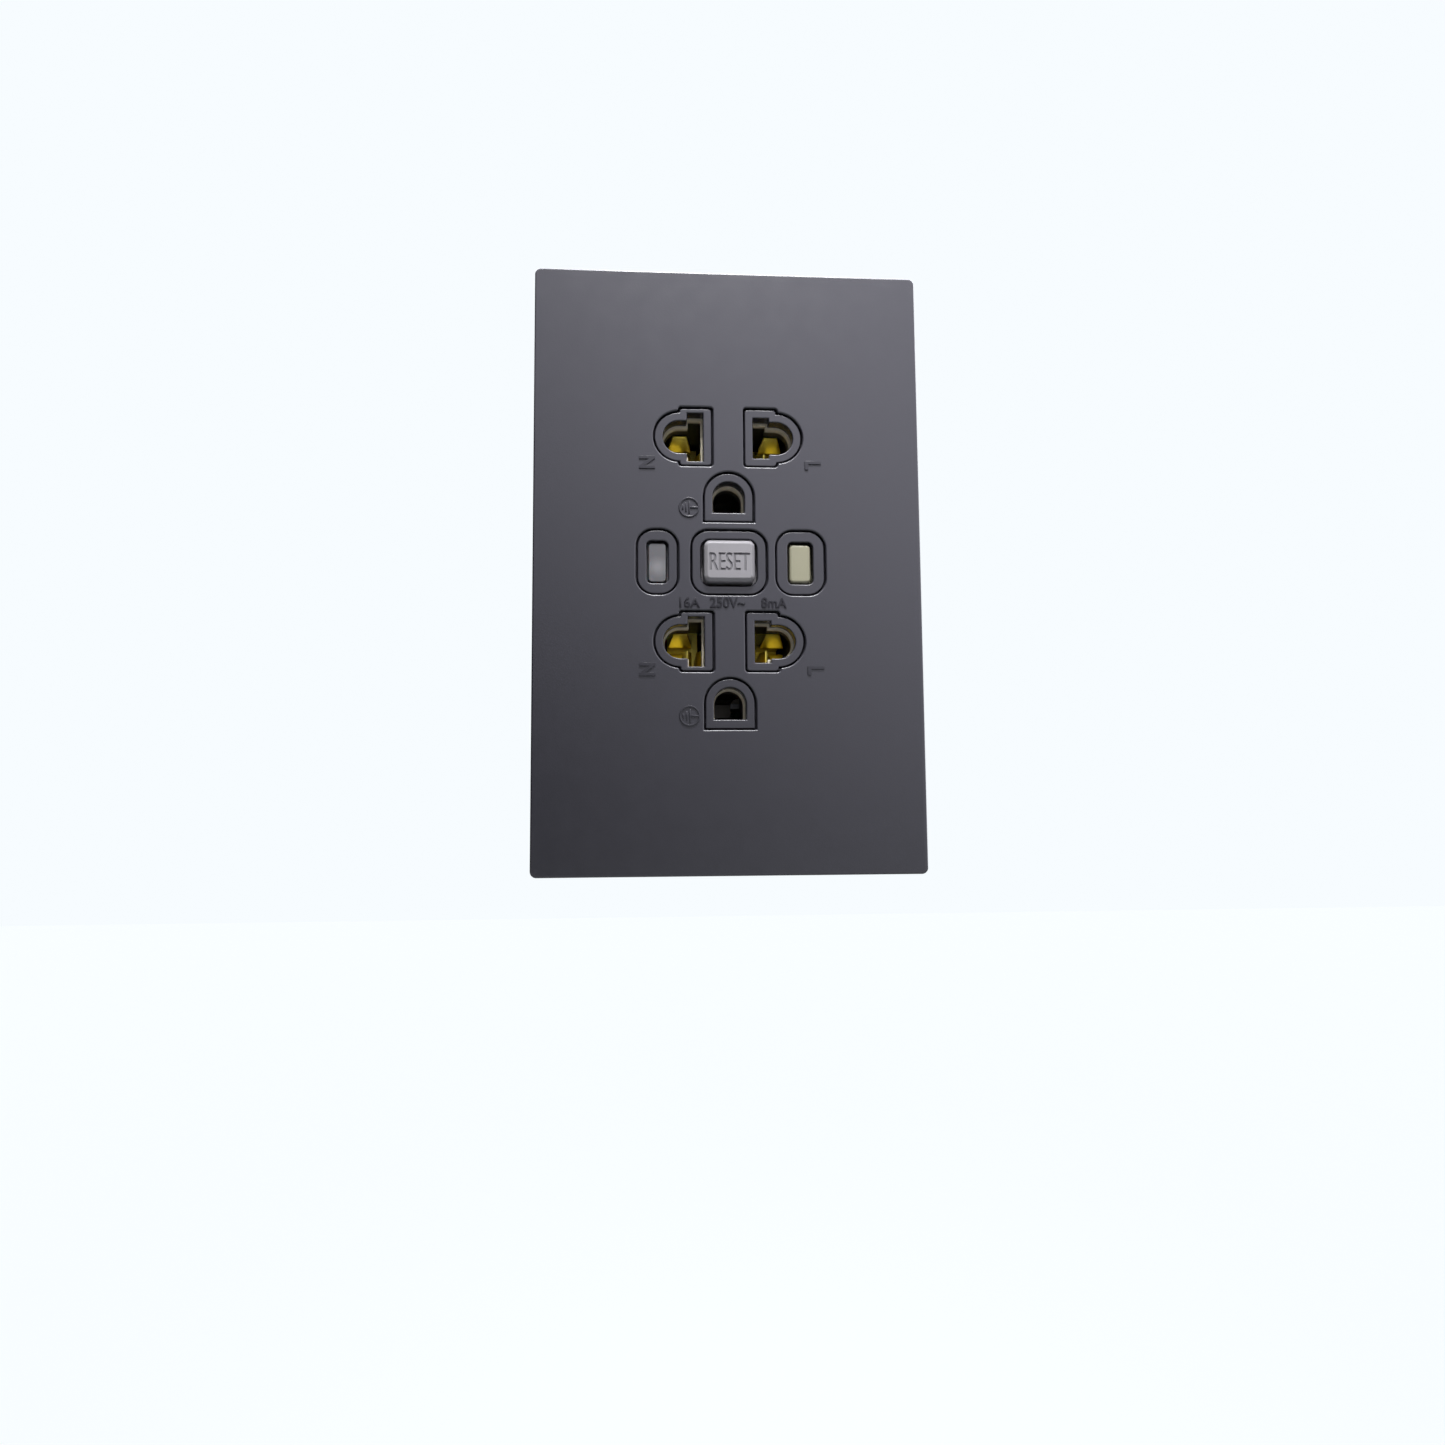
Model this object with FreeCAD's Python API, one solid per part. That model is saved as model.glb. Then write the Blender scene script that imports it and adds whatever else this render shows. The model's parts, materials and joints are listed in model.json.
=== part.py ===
import FreeCAD, Part
import math
import os

V = FreeCAD.Vector

# Duplex wall socket with residual current protection, in millimetres.
# +X is to the right, +Z is up, and the plate faces -Y. The wall is the plane y = 0, and the
# origin is the middle of the two box screws in that plane.

# Cover plate
PLATE_W = 75.0
PLATE_H = 118.0
PLATE_D = 8.0
PLATE_SKIN = 1.8
PLATE_WALL = 1.6
PLATE_UNDERCUT = 0.6
PLATE_CORNER_R = 1.2
PLATE_EDGE_R = 0.35

# Tolerances of making: cuts run past the face they open, joined pieces run into each other
CUT_PAST = 1.0
MERGE = 0.1
TOUCH = 0.001

# Two outlets, each with a left and a right contact hole and an earth hole below
OUTLET_PITCH = 40.2
OUTLET_MID_Z = 5.6
EARTH_DROP = 11.9
BLADE_PITCH = 12.85
PIN_PITCH = 18.9
BLADE_SLOT_W = 3.15
LINE_SLOT_H = 8.15
NEUTRAL_SLOT_H = 9.7
PIN_HOLE_R = 3.25
EARTH_HOLE_R = 3.1

# Raised bosses of the front housing, seen through the plate
BOSS_RIM = 1.6
BOSS_BLOCK_H = 11.3
BOSS_DROP = 0.4
BOSS_GAP = 0.28
BOSS_STEP = 0.2
BOSS_CORNER_R = 0.6
EARTH_BOSS_FOOT = 4.8

# Row of controls between the outlets
CONTROL_Z = 0.9
RESET_BOSS_W = 14.3
CONTROL_BOSS_H = 12.35
CONTROL_BOSS_R = 3.2
RESET_HOLE_W = 10.9
RESET_HOLE_H = 9.2
RESET_HOLE_R = 1.8
RESET_CORNER_R = 1.2
RESET_PLAY = 0.6
RESET_PROUD = 1.4
RESET_BEVEL = 0.6
RESET_FLANGE_T = 1.0
RESET_CAP_T = 1.6
FLANGE_RIM = 0.7
TEST_X = 13.85
TEST_BOSS_W = 9.25
TEST_HOLE_W = 4.95
SIDE_HOLE_H = 8.35
SIDE_HOLE_R = 1.0
TEST_PLAY = 0.42
TEST_SUNK = 0.8
TEST_CORNER_R = 0.8
TEST_BEVEL = 0.3
SIDE_FLANGE_RIM = 0.3
SIDE_FLANGE_T = 0.8
SIDE_FLANGE_R = 1.0
LENS_X = -13.8
LENS_BOSS_W = 7.6
LENS_HOLE_W = 4.2
LENS_PLAY = 0.4
LENS_SUNK = 1.0
LENS_CORNER_R = 0.7
LIGHT_PIPE_R = 1.5
LIGHT_PIPE_CLEAR = 0.8
LIGHT_PIPE_TO_BOARD = 6.5

# Travels
RESET_TRAVEL = 1.5
PLUNGER_TRAVEL = 1.5
TEST_TRAVEL = 1.0

# Housing
HOUSING_W = 44.0
HOUSING_H = 70.0
HOUSING_CORNER_R = 2.0
CAVITY_CORNER_R = 1.5
BACK_CHAMFER = 1.0
HOUSING_WALL = 1.7
WEB_GAP = 0.2
WEB_T = 1.6
FRONT_SKIRT_WALL = 1.6
FRONT_POST_R = 3.2
PILOT_DEPTH = 0.4
BOSS_R = 3.8
POST_CLEAR = 4.2
POST_INSET = 4.1
SCREW_R = 1.4
SCREW_HEAD_R = 2.7
SCREW_HEAD_H = 2.0
SCREW_SINK = 0.4
STANDOFF = 0.7
STANDOFF_R = 2.0
STANDOFF_X = 12.0
STANDOFF_INSET = 5.3

# Steel strap with the ears for the box screws
STRAP_T = 1.2
STRAP_CHAMFER = 2.0
STRAP_WINDOW_R = 1.5
EAR_W = 22.0
EAR_SHOULDER = 4.0
EAR_REACH = 10.25
BOX_SCREW_PITCH = 83.5
BOX_SLOT_R = 2.1
BOX_SLOT_L = 7.0
EARTH_TAB_X = -16.0
EARTH_TAB_W = 8.0
EARTH_TAB_END_Y = 9.0
EARTH_TAB_INSET = 1.0
EARTH_TAB_ROOT = 3.0
EARTH_SCREW_Y = 5.0
EARTH_SCREW_TAIL = 2.5
EARTH_WIRE_GAP = 1.2

# Carrier frame that the plate snaps on to
FRAME_T = 2.0
FRAME_RIM = 1.5
FRAME_FIT = 0.4
FRAME_CORNER_R = 2.0
FRAME_HOLLOW_R = 1.0
FRAME_SCREW_INSET = 3.5
FRAME_SCREW_HEAD_R = 2.4
FRAME_SCREW_HEAD_H = 1.4
FRAME_RELIEF_W = 9.0
FRAME_RELIEF_H = 12.0
FRAME_RELIEF_R = 4.0
HOOK_SHIFT = 1.25
HOOK_Z = 38.0
HOOK_W = 6.0
HOOK_T = 1.4
HOOK_BARB = 0.7

# Contact tray
TRAY_T = 1.6
TRAY_FIT = 0.3
TRAY_WALL = 1.1
COLLAR_INSET = 0.3
COLLAR_RIM = 0.9
TOWER_D = 13.0
POCKET_IN = 4.3
POCKET_OUT = 12.6
POCKET_HALF_H = 5.2
POCKET_LIP_Y = -0.4
EARTH_POCKET = 3.6
PIN_GUIDE_RIM = 0.5
PIN_GUIDE_D = 3.0

# Brass contacts
BUS_T = 0.8
LEAF_T = 0.5
EARTH_LEAF_T = 0.6
LIP_Y = -0.1
THROAT_Y = 2.4
BEND_R = 0.3
LIP_RISE = 2.8
LEAF_BEND_Y = 7.0
LEAF_ROOT_RISE = 1.6
PIN_THROAT = 0.4
PIN_LOWER_THROAT = 1.1
LIP_TAPER = 0.2
TAPER_ROOT = 0.5
PIN_LEAF_OUT = 11.5
PIN_UPPER_IN = 6.9
PIN_LOWER_IN = 8.5
BUS_INNER = 1.3
BUS_TOP_INSET = 0.7
BLADE_LIP = 1.5
BLADE_THROAT = 0.68
BLADE_SPREAD = 0.12
BLADE_LEAF_TOP = -0.6
BLADE_LEAF_FOOT = -3.9
EARTH_LEAF_W = 3.5
EARTH_LIP = 3.0
EARTH_THROAT = 2.1
EARTH_SPREAD = 0.35
EARTH_BEND_Y = 6.0
EARTH_LEG_ROOT = 1.0
EARTH_LEG_DROP = 5.3

# Side terminals
TERMINAL_Z = 20.0
TERMINAL_W = 9.0
TERMINAL_Y = 4.0
TERMINAL_INSET = 0.5
TERMINAL_SCREW_Y = 8.6
TERMINAL_SCREW_R = 1.75
TERMINAL_HEAD_R = 3.6
TERMINAL_HEAD_H = 2.0
TERMINAL_TIP_GAP = 2.7
CLAMP_T = 1.0
CLAMP_MARGIN = 0.5
CLAMP_D = 7.6
WINDOW_MARGIN = 0.4
SUPPLY_LEG_INSET = 4.5

# Switching mechanism
RIVET_T = 0.8
FIXED_RIVET_R = 1.8
MOVING_RIVET_R = 1.6
RIVET_X = 9.0
ARM_W = 3.6
ARM_T = 0.5
ARM_TIP = 2.4
ARM_TIP_R = 1.2
ARM_PIVOT_Z = 13.2
POST_T = 0.8
POST_W = 3.2
RUN_GAP = 0.1
FREE_GAP = 0.3
BLOCK_W = 12.0
BLOCK_FOOT_Z = -3.4
BLOCK_TOP_Z = 5.2
BLOCK_D = 5.6
WING_W = 4.5
WING_H = 4.0
WING_T = 1.4
WING_STEP = 0.4
RESET_PIN_R = 1.2
RESET_NECK_R = 0.8
RESET_NECK_RUN = 1.0
PIN_TIP_R = 0.5
PIN_HEAD_L = 1.5
PIN_CONE_L = 2.0
PIN_PROUD = 0.2
PIN_TO_BOARD = 1.0
LATCH_T = 0.6
LATCH_W = 5.4
LATCH_BITE = 0.2
LATCH_PLAY = 0.4
LATCH_TOP_Z = 4.4
LATCH_INSET = 2.6
LATCH_FOOT = 1.8
RESET_SPRING_R = 2.5
RESET_WIRE = 0.45
RESET_TURNS = 5
RESET_SPRING_ROOM = 0.8
TEST_SPRING_R = 2.6
TEST_WIRE = 0.35
TEST_TURNS = 3
TEST_SPRING_ROOM = 0.6
STEM_W = 2.4
STEM_H = 3.6
STEM_END_Y = 9.0
TEST_BLADE_T = 0.4
TEST_BLADE_W = 2.0
TEST_BLADE_ROOT_Z = 6.0
TEST_BLADE_TIP_Z = -1.0
TEST_FIXED_ROOT_Z = -3.0
TEST_FIXED_TIP_Z = 1.0
TEST_CONTACT_GAP = 2.2

# Solenoid
SOLENOID_Y = 20.0
BOBBIN_Z0 = -24.0
BOBBIN_Z1 = -8.0
BOBBIN_BORE_R = 2.2
BOBBIN_TUBE_R = 3.0
BOBBIN_FLANGE = 5.8
BOBBIN_FLANGE_T = 1.0
COIL_R = 5.3
YOKE_T = 1.0
YOKE_X = 6.9
YOKE_W = 10.0
YOKE_END_X = -5.0
PLUNGER_R = 1.9
PLUNGER_TIP_R = 1.0
PLUNGER_HEAD_R = 2.8
PLUNGER_HEAD_T = 1.0
PLUNGER_TAIL = 6.0
PLUNGER_WIRE = 0.45
PLUNGER_TURNS = 4
SPRING_FACETS = 12

# Circuit board and what stands on it
BOARD_T = 1.6
BOARD_FIT = 0.5
TRANSFORMER_Z = 22.5
TRANSFORMER_R = 7.6
TRANSFORMER_BORE_R = 3.6
TRANSFORMER_RING = 3.8
CUP_FLOOR = 1.0
CUP_RIM = 0.4
CUP_SLEEVE_T = 0.7
RING_GAP = 0.4
CONDUCTOR_X = 1.6
CONDUCTOR_T = 0.8
CONDUCTOR_W = 1.2
CONDUCTOR_LEAD = 0.6
CONDUCTOR_RISE = 9.4
LED_R = 1.5
LED_H = 4.3
LED_TIP = 0.9
LED_FOOT_RIM = 0.3
LED_FOOT_T = 1.0
BOARD_CORNER_R = 1.0
CAPACITOR_INSET = 6.3
CAPACITOR_Z = -14.0
CAPACITOR_W = 7.0
CAPACITOR_L = 10.0
CAPACITOR_H = 7.5
CAPACITOR_CORNER_R = 0.8
VARISTOR_INSET = 5.9
VARISTOR_Z = -14.0
VARISTOR_R = 4.2
VARISTOR_T = 3.4
VARISTOR_LIFT = 1.0
THYRISTOR_SHIFT = 1.5
THYRISTOR_Z = -24.5
THYRISTOR_R = 2.3
THYRISTOR_FLAT = 1.4
THYRISTOR_H = 4.4
THYRISTOR_LIFT = 2.6
LEG_PITCH = 1.27
LEG_T = 0.5
LEG_REACH = 1.2
AXIAL_LIFT = 0.3
RESISTOR_SHIFT = 5.3
RESISTOR_PITCH = 3.2
RESISTOR_Z = -22.8
RESISTOR_R = 1.15
RESISTOR_L = 5.6
DIODE_INSET = 2.0
DIODE_PITCH = 2.7
DIODE_Z = 9.8
DIODE_R = 0.9
DIODE_L = 3.6
CHIP_SHIFT = 4.4
CHIP_Z = 10.9
CHIP_W = 4.0
CHIP_L = 5.0
CHIP_H = 1.6

# Planes along the depth, from the face to the back
FACE_Y = -PLATE_D
SKIN_BACK_Y = FACE_Y + PLATE_SKIN
BOSS_Y = FACE_Y + BOSS_DROP
WEB_Y = SKIN_BACK_Y + WEB_GAP
WEB_BACK_Y = WEB_Y + WEB_T
STRAP_Y = -STRAP_T
COLLAR_Y = WEB_BACK_Y + WEB_GAP
TOWER_Y = STRAP_Y + WEB_GAP
BUS_BACK_Y = TOWER_D + BUS_T
ARM_Y = BUS_BACK_Y + 2 * RIVET_T
ARM_BACK_Y = ARM_Y + ARM_T
WING_Y = ARM_BACK_Y + RUN_GAP
BLOCK_Y = WING_Y + WING_STEP
BLOCK_BACK_Y = BLOCK_Y + BLOCK_D
LATCH_Y = BLOCK_Y + LATCH_INSET
SHOULDER_Y = LATCH_Y + LATCH_T + LATCH_PLAY
PIN_CONE_Y = SHOULDER_Y + PIN_HEAD_L
PIN_END_Y = PIN_CONE_Y + PIN_CONE_L
BOARD_Y = PIN_END_Y + RESET_TRAVEL + PIN_TO_BOARD
BOARD_BACK_Y = BOARD_Y + BOARD_T
FLOOR_Y = BOARD_BACK_Y + STANDOFF
HOUSING_BACK_Y = FLOOR_Y + HOUSING_WALL

# Places worked out from the sizes above
SLOT_LINES = [OUTLET_MID_Z + OUTLET_PITCH / 2, OUTLET_MID_Z - OUTLET_PITCH / 2]
EARTH_LINES = [z - EARTH_DROP for z in SLOT_LINES]
BLADE_X = BLADE_PITCH / 2
BLADE_IN = BLADE_X - BLADE_SLOT_W / 2
BLADE_OUT = BLADE_X + BLADE_SLOT_W / 2
PIN_X = PIN_PITCH / 2
EARTH_BOSS_R = EARTH_HOLE_R + BOSS_RIM
FLANGE_Y = WEB_BACK_Y + WEB_GAP
WELL_Y = FACE_Y - RESET_PROUD + RESET_BEVEL + RESET_CAP_T
CAVITY_X = HOUSING_W / 2 - HOUSING_WALL
CAVITY_Z = HOUSING_H / 2 - HOUSING_WALL
BOARD_X = CAVITY_X - BOARD_FIT
BOARD_Z = CAVITY_Z - BOARD_FIT
STRAP_WINDOW_X = POCKET_OUT + TRAY_WALL + 3 * FREE_GAP
STRAP_END_Z = BOX_SCREW_PITCH / 2 + EAR_REACH
FRAME_SCREW_Z = STRAP_END_Z - FRAME_SCREW_INSET
HOOK_X = (PLATE_W + HOUSING_W) / 4 - HOOK_SHIFT
TERMINAL_X = HOUSING_W / 2 - TERMINAL_INSET
TERMINAL_OUT_X = TERMINAL_X + BUS_T / 2
TERMINAL_SCREW_L = TERMINAL_OUT_X + CLAMP_T - POCKET_OUT - TRAY_WALL - TERMINAL_TIP_GAP
SUPPLY_LEG_X = TERMINAL_X - SUPPLY_LEG_INSET
BOSS_X = POCKET_OUT + TRAY_WALL + POST_CLEAR
BOSS_Z = HOUSING_H / 2 - POST_INSET
CORNERS = [(sx * BOSS_X, sz * BOSS_Z) for sx in (-1, 1) for sz in (-1, 1)]
RIVET_Z = CONTROL_Z
SPRING_HOLE_R = RESET_SPRING_R + RESET_SPRING_ROOM
TEST_SPRING_HOLE_R = TEST_SPRING_R + TEST_SPRING_ROOM
EARTH_TAB_Z = -(HOUSING_H / 2 + EAR_SHOULDER - EARTH_TAB_INSET)
SCREW_SEAT_Y = HOUSING_BACK_Y - SCREW_HEAD_H - SCREW_SINK
LATCH_FOOT_Z = BLOCK_FOOT_Z - LATCH_FOOT
PLUNGER_TAIL_Z = BOBBIN_Z0 - YOKE_T - PLUNGER_TAIL
RING_Y = BOARD_Y - CUP_FLOOR - TRANSFORMER_RING
CAPACITOR_X = CAPACITOR_INSET - BOARD_X
THYRISTOR_X = CAPACITOR_X + THYRISTOR_SHIFT


def box(x0, x1, y0, y1, z0, z1):
    """Block between two values along each axis, given in either order."""
    low = V(min(x0, x1), min(y0, y1), min(z0, z1))
    return Part.makeBox(abs(x1 - x0), abs(y1 - y0), abs(z1 - z0), low)


def rod_x(y, z, r, x0, x1):
    return Part.makeCylinder(r, abs(x1 - x0), V(min(x0, x1), y, z), V(1, 0, 0))


def rod_y(x, z, r, y0, y1):
    return Part.makeCylinder(r, y1 - y0, V(x, y0, z), V(0, 1, 0))


def rod_z(x, y, r, z0, z1):
    return Part.makeCylinder(r, z1 - z0, V(x, y, z0), V(0, 0, 1))


def pad(x, z, w, h, r, y0, y1):
    """Rounded rectangle in the plane of the wall, carried along the depth."""
    block = box(x - w / 2, x + w / 2, y0, y1, z - h / 2, z + h / 2)
    corners = [e for e in block.Edges if abs(e.tangentAt(e.FirstParameter).y) > 0.9]
    return block.makeFillet(r, corners)


def fused(shapes):
    """One clean solid from pieces that meet or overlap."""
    whole = shapes[0].fuse(shapes[1:])
    return whole.removeSplitter()


def cut(shape, tools):
    """The shape less each tool in turn."""
    for tool in tools:
        shape = shape.cut(tool)
    return shape.removeSplitter()


def contact_hole(side, slot_h, z, grow, y0, y1):
    """Blade slot joined to the round pin hole beside it."""
    top = slot_h / 2 + grow
    slot = box(side * (BLADE_IN - grow), side * (BLADE_OUT + grow), y0, y1, z - top, z + top)
    r = PIN_HOLE_R + grow
    neck = box(side * BLADE_X, side * PIN_X, y0, y1, z - r, z + r)
    return fused([slot, neck, rod_y(side * PIN_X, z, r, y0, y1)])


def contact_boss(side, z, grow, y0, y1):
    """Outline of the raised boss around one contact hole."""
    half = BOSS_BLOCK_H / 2 + grow
    inner = side * (BLADE_IN - BOSS_RIM - grow)
    outer = side * (BLADE_OUT + BOSS_RIM - BOSS_STEP + grow)
    x_mid = (inner + outer) / 2
    block = pad(x_mid, z, abs(outer - inner), 2 * half, BOSS_CORNER_R, y0, y1)
    return fused([block, rod_y(side * PIN_X, z, PIN_HOLE_R + BOSS_RIM + grow, y0, y1)])


def dee(z, r, foot, y0, y1):
    """Round top with straight sides down to a flat foot."""
    return fused([rod_y(0, z, r, y0, y1), box(-r, r, y0, y1, z - foot, z)])


def contact_sides():
    """Side of the plate and slot height of each contact hole: neutral left, line right."""
    return [(-1, NEUTRAL_SLOT_H), (1, LINE_SLOT_H)]


def boss_shapes(grow, y0, y1):
    """Every raised boss, grown by the gap wanted around it."""
    shapes = [contact_boss(side, z, grow, y0, y1) for z in SLOT_LINES for side, slot in contact_sides()]
    shapes += [dee(z, EARTH_BOSS_R + grow, EARTH_BOSS_FOOT + grow, y0, y1) for z in EARTH_LINES]
    for x, w in ((LENS_X, LENS_BOSS_W), (0, RESET_BOSS_W), (TEST_X, TEST_BOSS_W)):
        h = CONTROL_BOSS_H + 2 * grow
        shapes.append(pad(x, CONTROL_Z, w + 2 * grow, h, CONTROL_BOSS_R + grow, y0, y1))
    return shapes


def through_holes(y0, y1):
    """Contact holes, earth holes and control openings through the front housing."""
    holes = [contact_hole(side, slot, z, 0, y0, y1) for z in SLOT_LINES for side, slot in contact_sides()]
    holes += [dee(z, EARTH_HOLE_R, EARTH_HOLE_R, y0, y1) for z in EARTH_LINES]
    holes.append(pad(0, CONTROL_Z, RESET_HOLE_W, RESET_HOLE_H, RESET_HOLE_R, y0, y1))
    holes.append(pad(TEST_X, CONTROL_Z, TEST_HOLE_W, SIDE_HOLE_H, SIDE_HOLE_R, y0, y1))
    holes.append(pad(LENS_X, CONTROL_Z, LENS_HOLE_W, SIDE_HOLE_H, SIDE_HOLE_R, y0, y1))
    return holes


def left_of(direction):
    return V(-direction.y, direction.x, 0)


def strip_side(points, offset, mid_r, place):
    """One long side of a bent strip: straight runs joined by an arc at each bend."""
    runs = [(b - a).normalize() for a, b in zip(points, points[1:])]
    last = points[0] + left_of(runs[0]) * offset
    edges = []
    for before, after, corner in zip(runs, runs[1:], points[1:]):
        hand = math.copysign(1, before.cross(after).z)
        back = mid_r * math.tan(before.getAngle(after) / 2)
        centre = corner - before * back + left_of(before) * hand * mid_r
        start = corner - before * back + left_of(before) * offset
        middle = centre + (corner - centre).normalize() * (mid_r - hand * offset)
        end = corner + after * back + left_of(after) * offset
        edges.append(Part.makeLine(place(last), place(start)))
        edges.append(Part.Arc(place(start), place(middle), place(end)).toShape())
        last = end
    tip = points[-1] + left_of(runs[-1]) * offset
    edges.append(Part.makeLine(place(last), place(tip)))
    return edges, place(points[0] + left_of(runs[0]) * offset), place(tip)


def strip(points, thick, to_3d, w0, w1):
    """Sheet metal bent along a line of points, between two widths."""
    mid_r = BEND_R + thick / 2
    left, left_root, left_tip = strip_side(points, thick / 2, mid_r, lambda p: to_3d(p, w0))
    right, right_root, right_tip = strip_side(points, -thick / 2, mid_r, lambda p: to_3d(p, w0))
    ends = [Part.makeLine(left_root, right_root), Part.makeLine(left_tip, right_tip)]
    outline = Part.Wire(Part.__sortEdges__(left + right + ends))
    return Part.Face(outline).extrude(to_3d(points[0], w1) - to_3d(points[0], w0))


def along_x(p, w):
    return V(w, p.x, p.y)


def along_y(p, w):
    return V(p.x, w, p.y)


def along_z(p, w):
    return V(p.x, p.y, w)


def coil_spring(radius, wire, length, turns):
    """Helical spring of square wire along +Z from the origin, in straight facets round each turn."""
    steps = turns * SPRING_FACETS
    sections = []
    for i in range(steps + 1):
        angle = 2 * math.pi * i / SPRING_FACETS
        z = (length - wire) * i / steps
        reach = [(radius, z), (radius, z + wire), (radius - wire, z + wire), (radius - wire, z)]
        sections.append([V(r * math.cos(angle), r * math.sin(angle), h) for r, h in reach])
    faces = [flat_face(sections[0]), flat_face(sections[-1])]
    for near, far in zip(sections, sections[1:]):
        for k in range(4):
            j = (k + 1) % 4
            faces.append(flat_face([near[k], near[j], far[j]]))
            faces.append(flat_face([near[k], far[j], far[k]]))
    return Part.Solid(Part.Shell(faces))


def flat_face(points):
    return Part.Face(Part.makePolygon(points + points[:1]))


def stand_along_y(shape, x, y, z):
    """Turn a piece made along +Z to run along +Y from a point."""
    shape.rotate(V(0, 0, 0), V(1, 0, 0), -90)
    shape.translate(V(x, y, z))
    return shape


def save(name, shape):
    shape.exportStep("parts/" + name + ".step")


def rounded_wire(w, h, r, y):
    """Closed outline of a rounded rectangle at one depth."""
    a = w / 2
    b = h / 2
    k = r * (1 - math.sqrt(0.5))
    edges = []
    for sx, sz, flip in ((1, 1, False), (-1, 1, True), (-1, -1, False), (1, -1, True)):
        side = V(sx * a, y, sz * (b - r))
        top = V(sx * (a - r), y, sz * b)
        middle = V(sx * (a - k), y, sz * (b - k))
        start, end = (top, side) if flip else (side, top)
        edges.append((start, middle, end))
    parts = []
    for (start, middle, end), (after, m, e) in zip(edges, edges[1:] + edges[:1]):
        parts.append(Part.Arc(start, middle, end).toShape())
        parts.append(Part.makeLine(end, after))
    return Part.Wire(parts)


def cover_plate():
    """Thin shell with undercut sides, one cut-out for each boss and four snap hooks."""
    front = rounded_wire(PLATE_W, PLATE_H, PLATE_CORNER_R, FACE_Y)
    back_w = PLATE_W - 2 * PLATE_UNDERCUT
    back_h = PLATE_H - 2 * PLATE_UNDERCUT
    back = rounded_wire(back_w, back_h, PLATE_CORNER_R, 0)
    shell = Part.makeLoft([front, back], True, True)
    rim = [e for e in shell.Edges if e.BoundBox.YMax < FACE_Y + TOUCH]
    shell = shell.makeFillet(PLATE_EDGE_R, rim)
    inner_w = back_w - 2 * PLATE_WALL
    inner_h = back_h - 2 * PLATE_WALL
    shell = shell.cut(pad(0, 0, inner_w, inner_h, PLATE_CORNER_R, SKIN_BACK_Y, CUT_PAST))
    shell = cut(shell, boss_shapes(BOSS_GAP, FACE_Y - CUT_PAST, SKIN_BACK_Y + CUT_PAST))
    return fused([shell] + snap_hooks())


def snap_hooks():
    hooks = []
    for sx in (-1, 1):
        for sz in (-1, 1):
            tip_y = -FREE_GAP
            barb_y = STRAP_Y + RUN_GAP
            face = sx * (HOOK_X + HOOK_T / 2)
            root = sx * (HOOK_X - HOOK_T / 2)
            outline = [V(root, SKIN_BACK_Y, 0), V(face, SKIN_BACK_Y, 0), V(face, barb_y, 0)]
            outline += [V(face + sx * HOOK_BARB, barb_y, 0), V(face, tip_y, 0), V(root, tip_y, 0)]
            profile = Part.Face(Part.makePolygon(outline + outline[:1]))
            profile.translate(V(0, 0, sz * HOOK_Z - HOOK_W / 2))
            hooks.append(profile.extrude(V(0, 0, HOOK_W)))
    return hooks


def carrier_frame():
    """Ring behind the plate: a web on the strap's ears, with a rim that stands on the wall."""
    inset = PLATE_UNDERCUT + PLATE_WALL + FRAME_FIT
    w = PLATE_W - 2 * inset
    h = PLATE_H - 2 * inset
    front_y = STRAP_Y - FRAME_T
    cut_y = front_y - CUT_PAST
    ring = pad(0, 0, w, h, FRAME_CORNER_R, front_y, 0)
    hollow = pad(0, 0, w - 2 * FRAME_RIM, h - 2 * FRAME_RIM, FRAME_HOLLOW_R, STRAP_Y, CUT_PAST)
    window = pad(0, 0, HOUSING_W + 2 * FREE_GAP, HOUSING_H + 2 * FREE_GAP, HOUSING_CORNER_R, cut_y, CUT_PAST)
    tools = [hollow, window]
    for sz in (-1, 1):
        z = sz * BOX_SCREW_PITCH / 2
        tools.append(pad(0, z, FRAME_RELIEF_W, FRAME_RELIEF_H, FRAME_RELIEF_R, cut_y, CUT_PAST))
        tools.append(rod_y(0, sz * FRAME_SCREW_Z, SCREW_R + RUN_GAP, cut_y, CUT_PAST))
    for sx in (-1, 1):
        for sz in (-1, 1):
            x0 = sx * (HOOK_X - HOOK_T / 2 - FREE_GAP)
            x1 = sx * (HOOK_X + HOOK_T / 2 + RUN_GAP)
            half = HOOK_W / 2 + FREE_GAP
            tools.append(box(x0, x1, cut_y, CUT_PAST, sz * HOOK_Z - half, sz * HOOK_Z + half))
    return cut(ring, tools)


def frame_screws():
    head_y = STRAP_Y - FRAME_T
    screws = []
    for sz in (-1, 1):
        z = sz * FRAME_SCREW_Z
        head = rod_y(0, z, FRAME_SCREW_HEAD_R, head_y - FRAME_SCREW_HEAD_H, head_y)
        shank = rod_y(0, z, SCREW_R, head_y, -RUN_GAP)
        screws.append(fused([head, shank]))
    return Part.makeCompound(screws)


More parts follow.
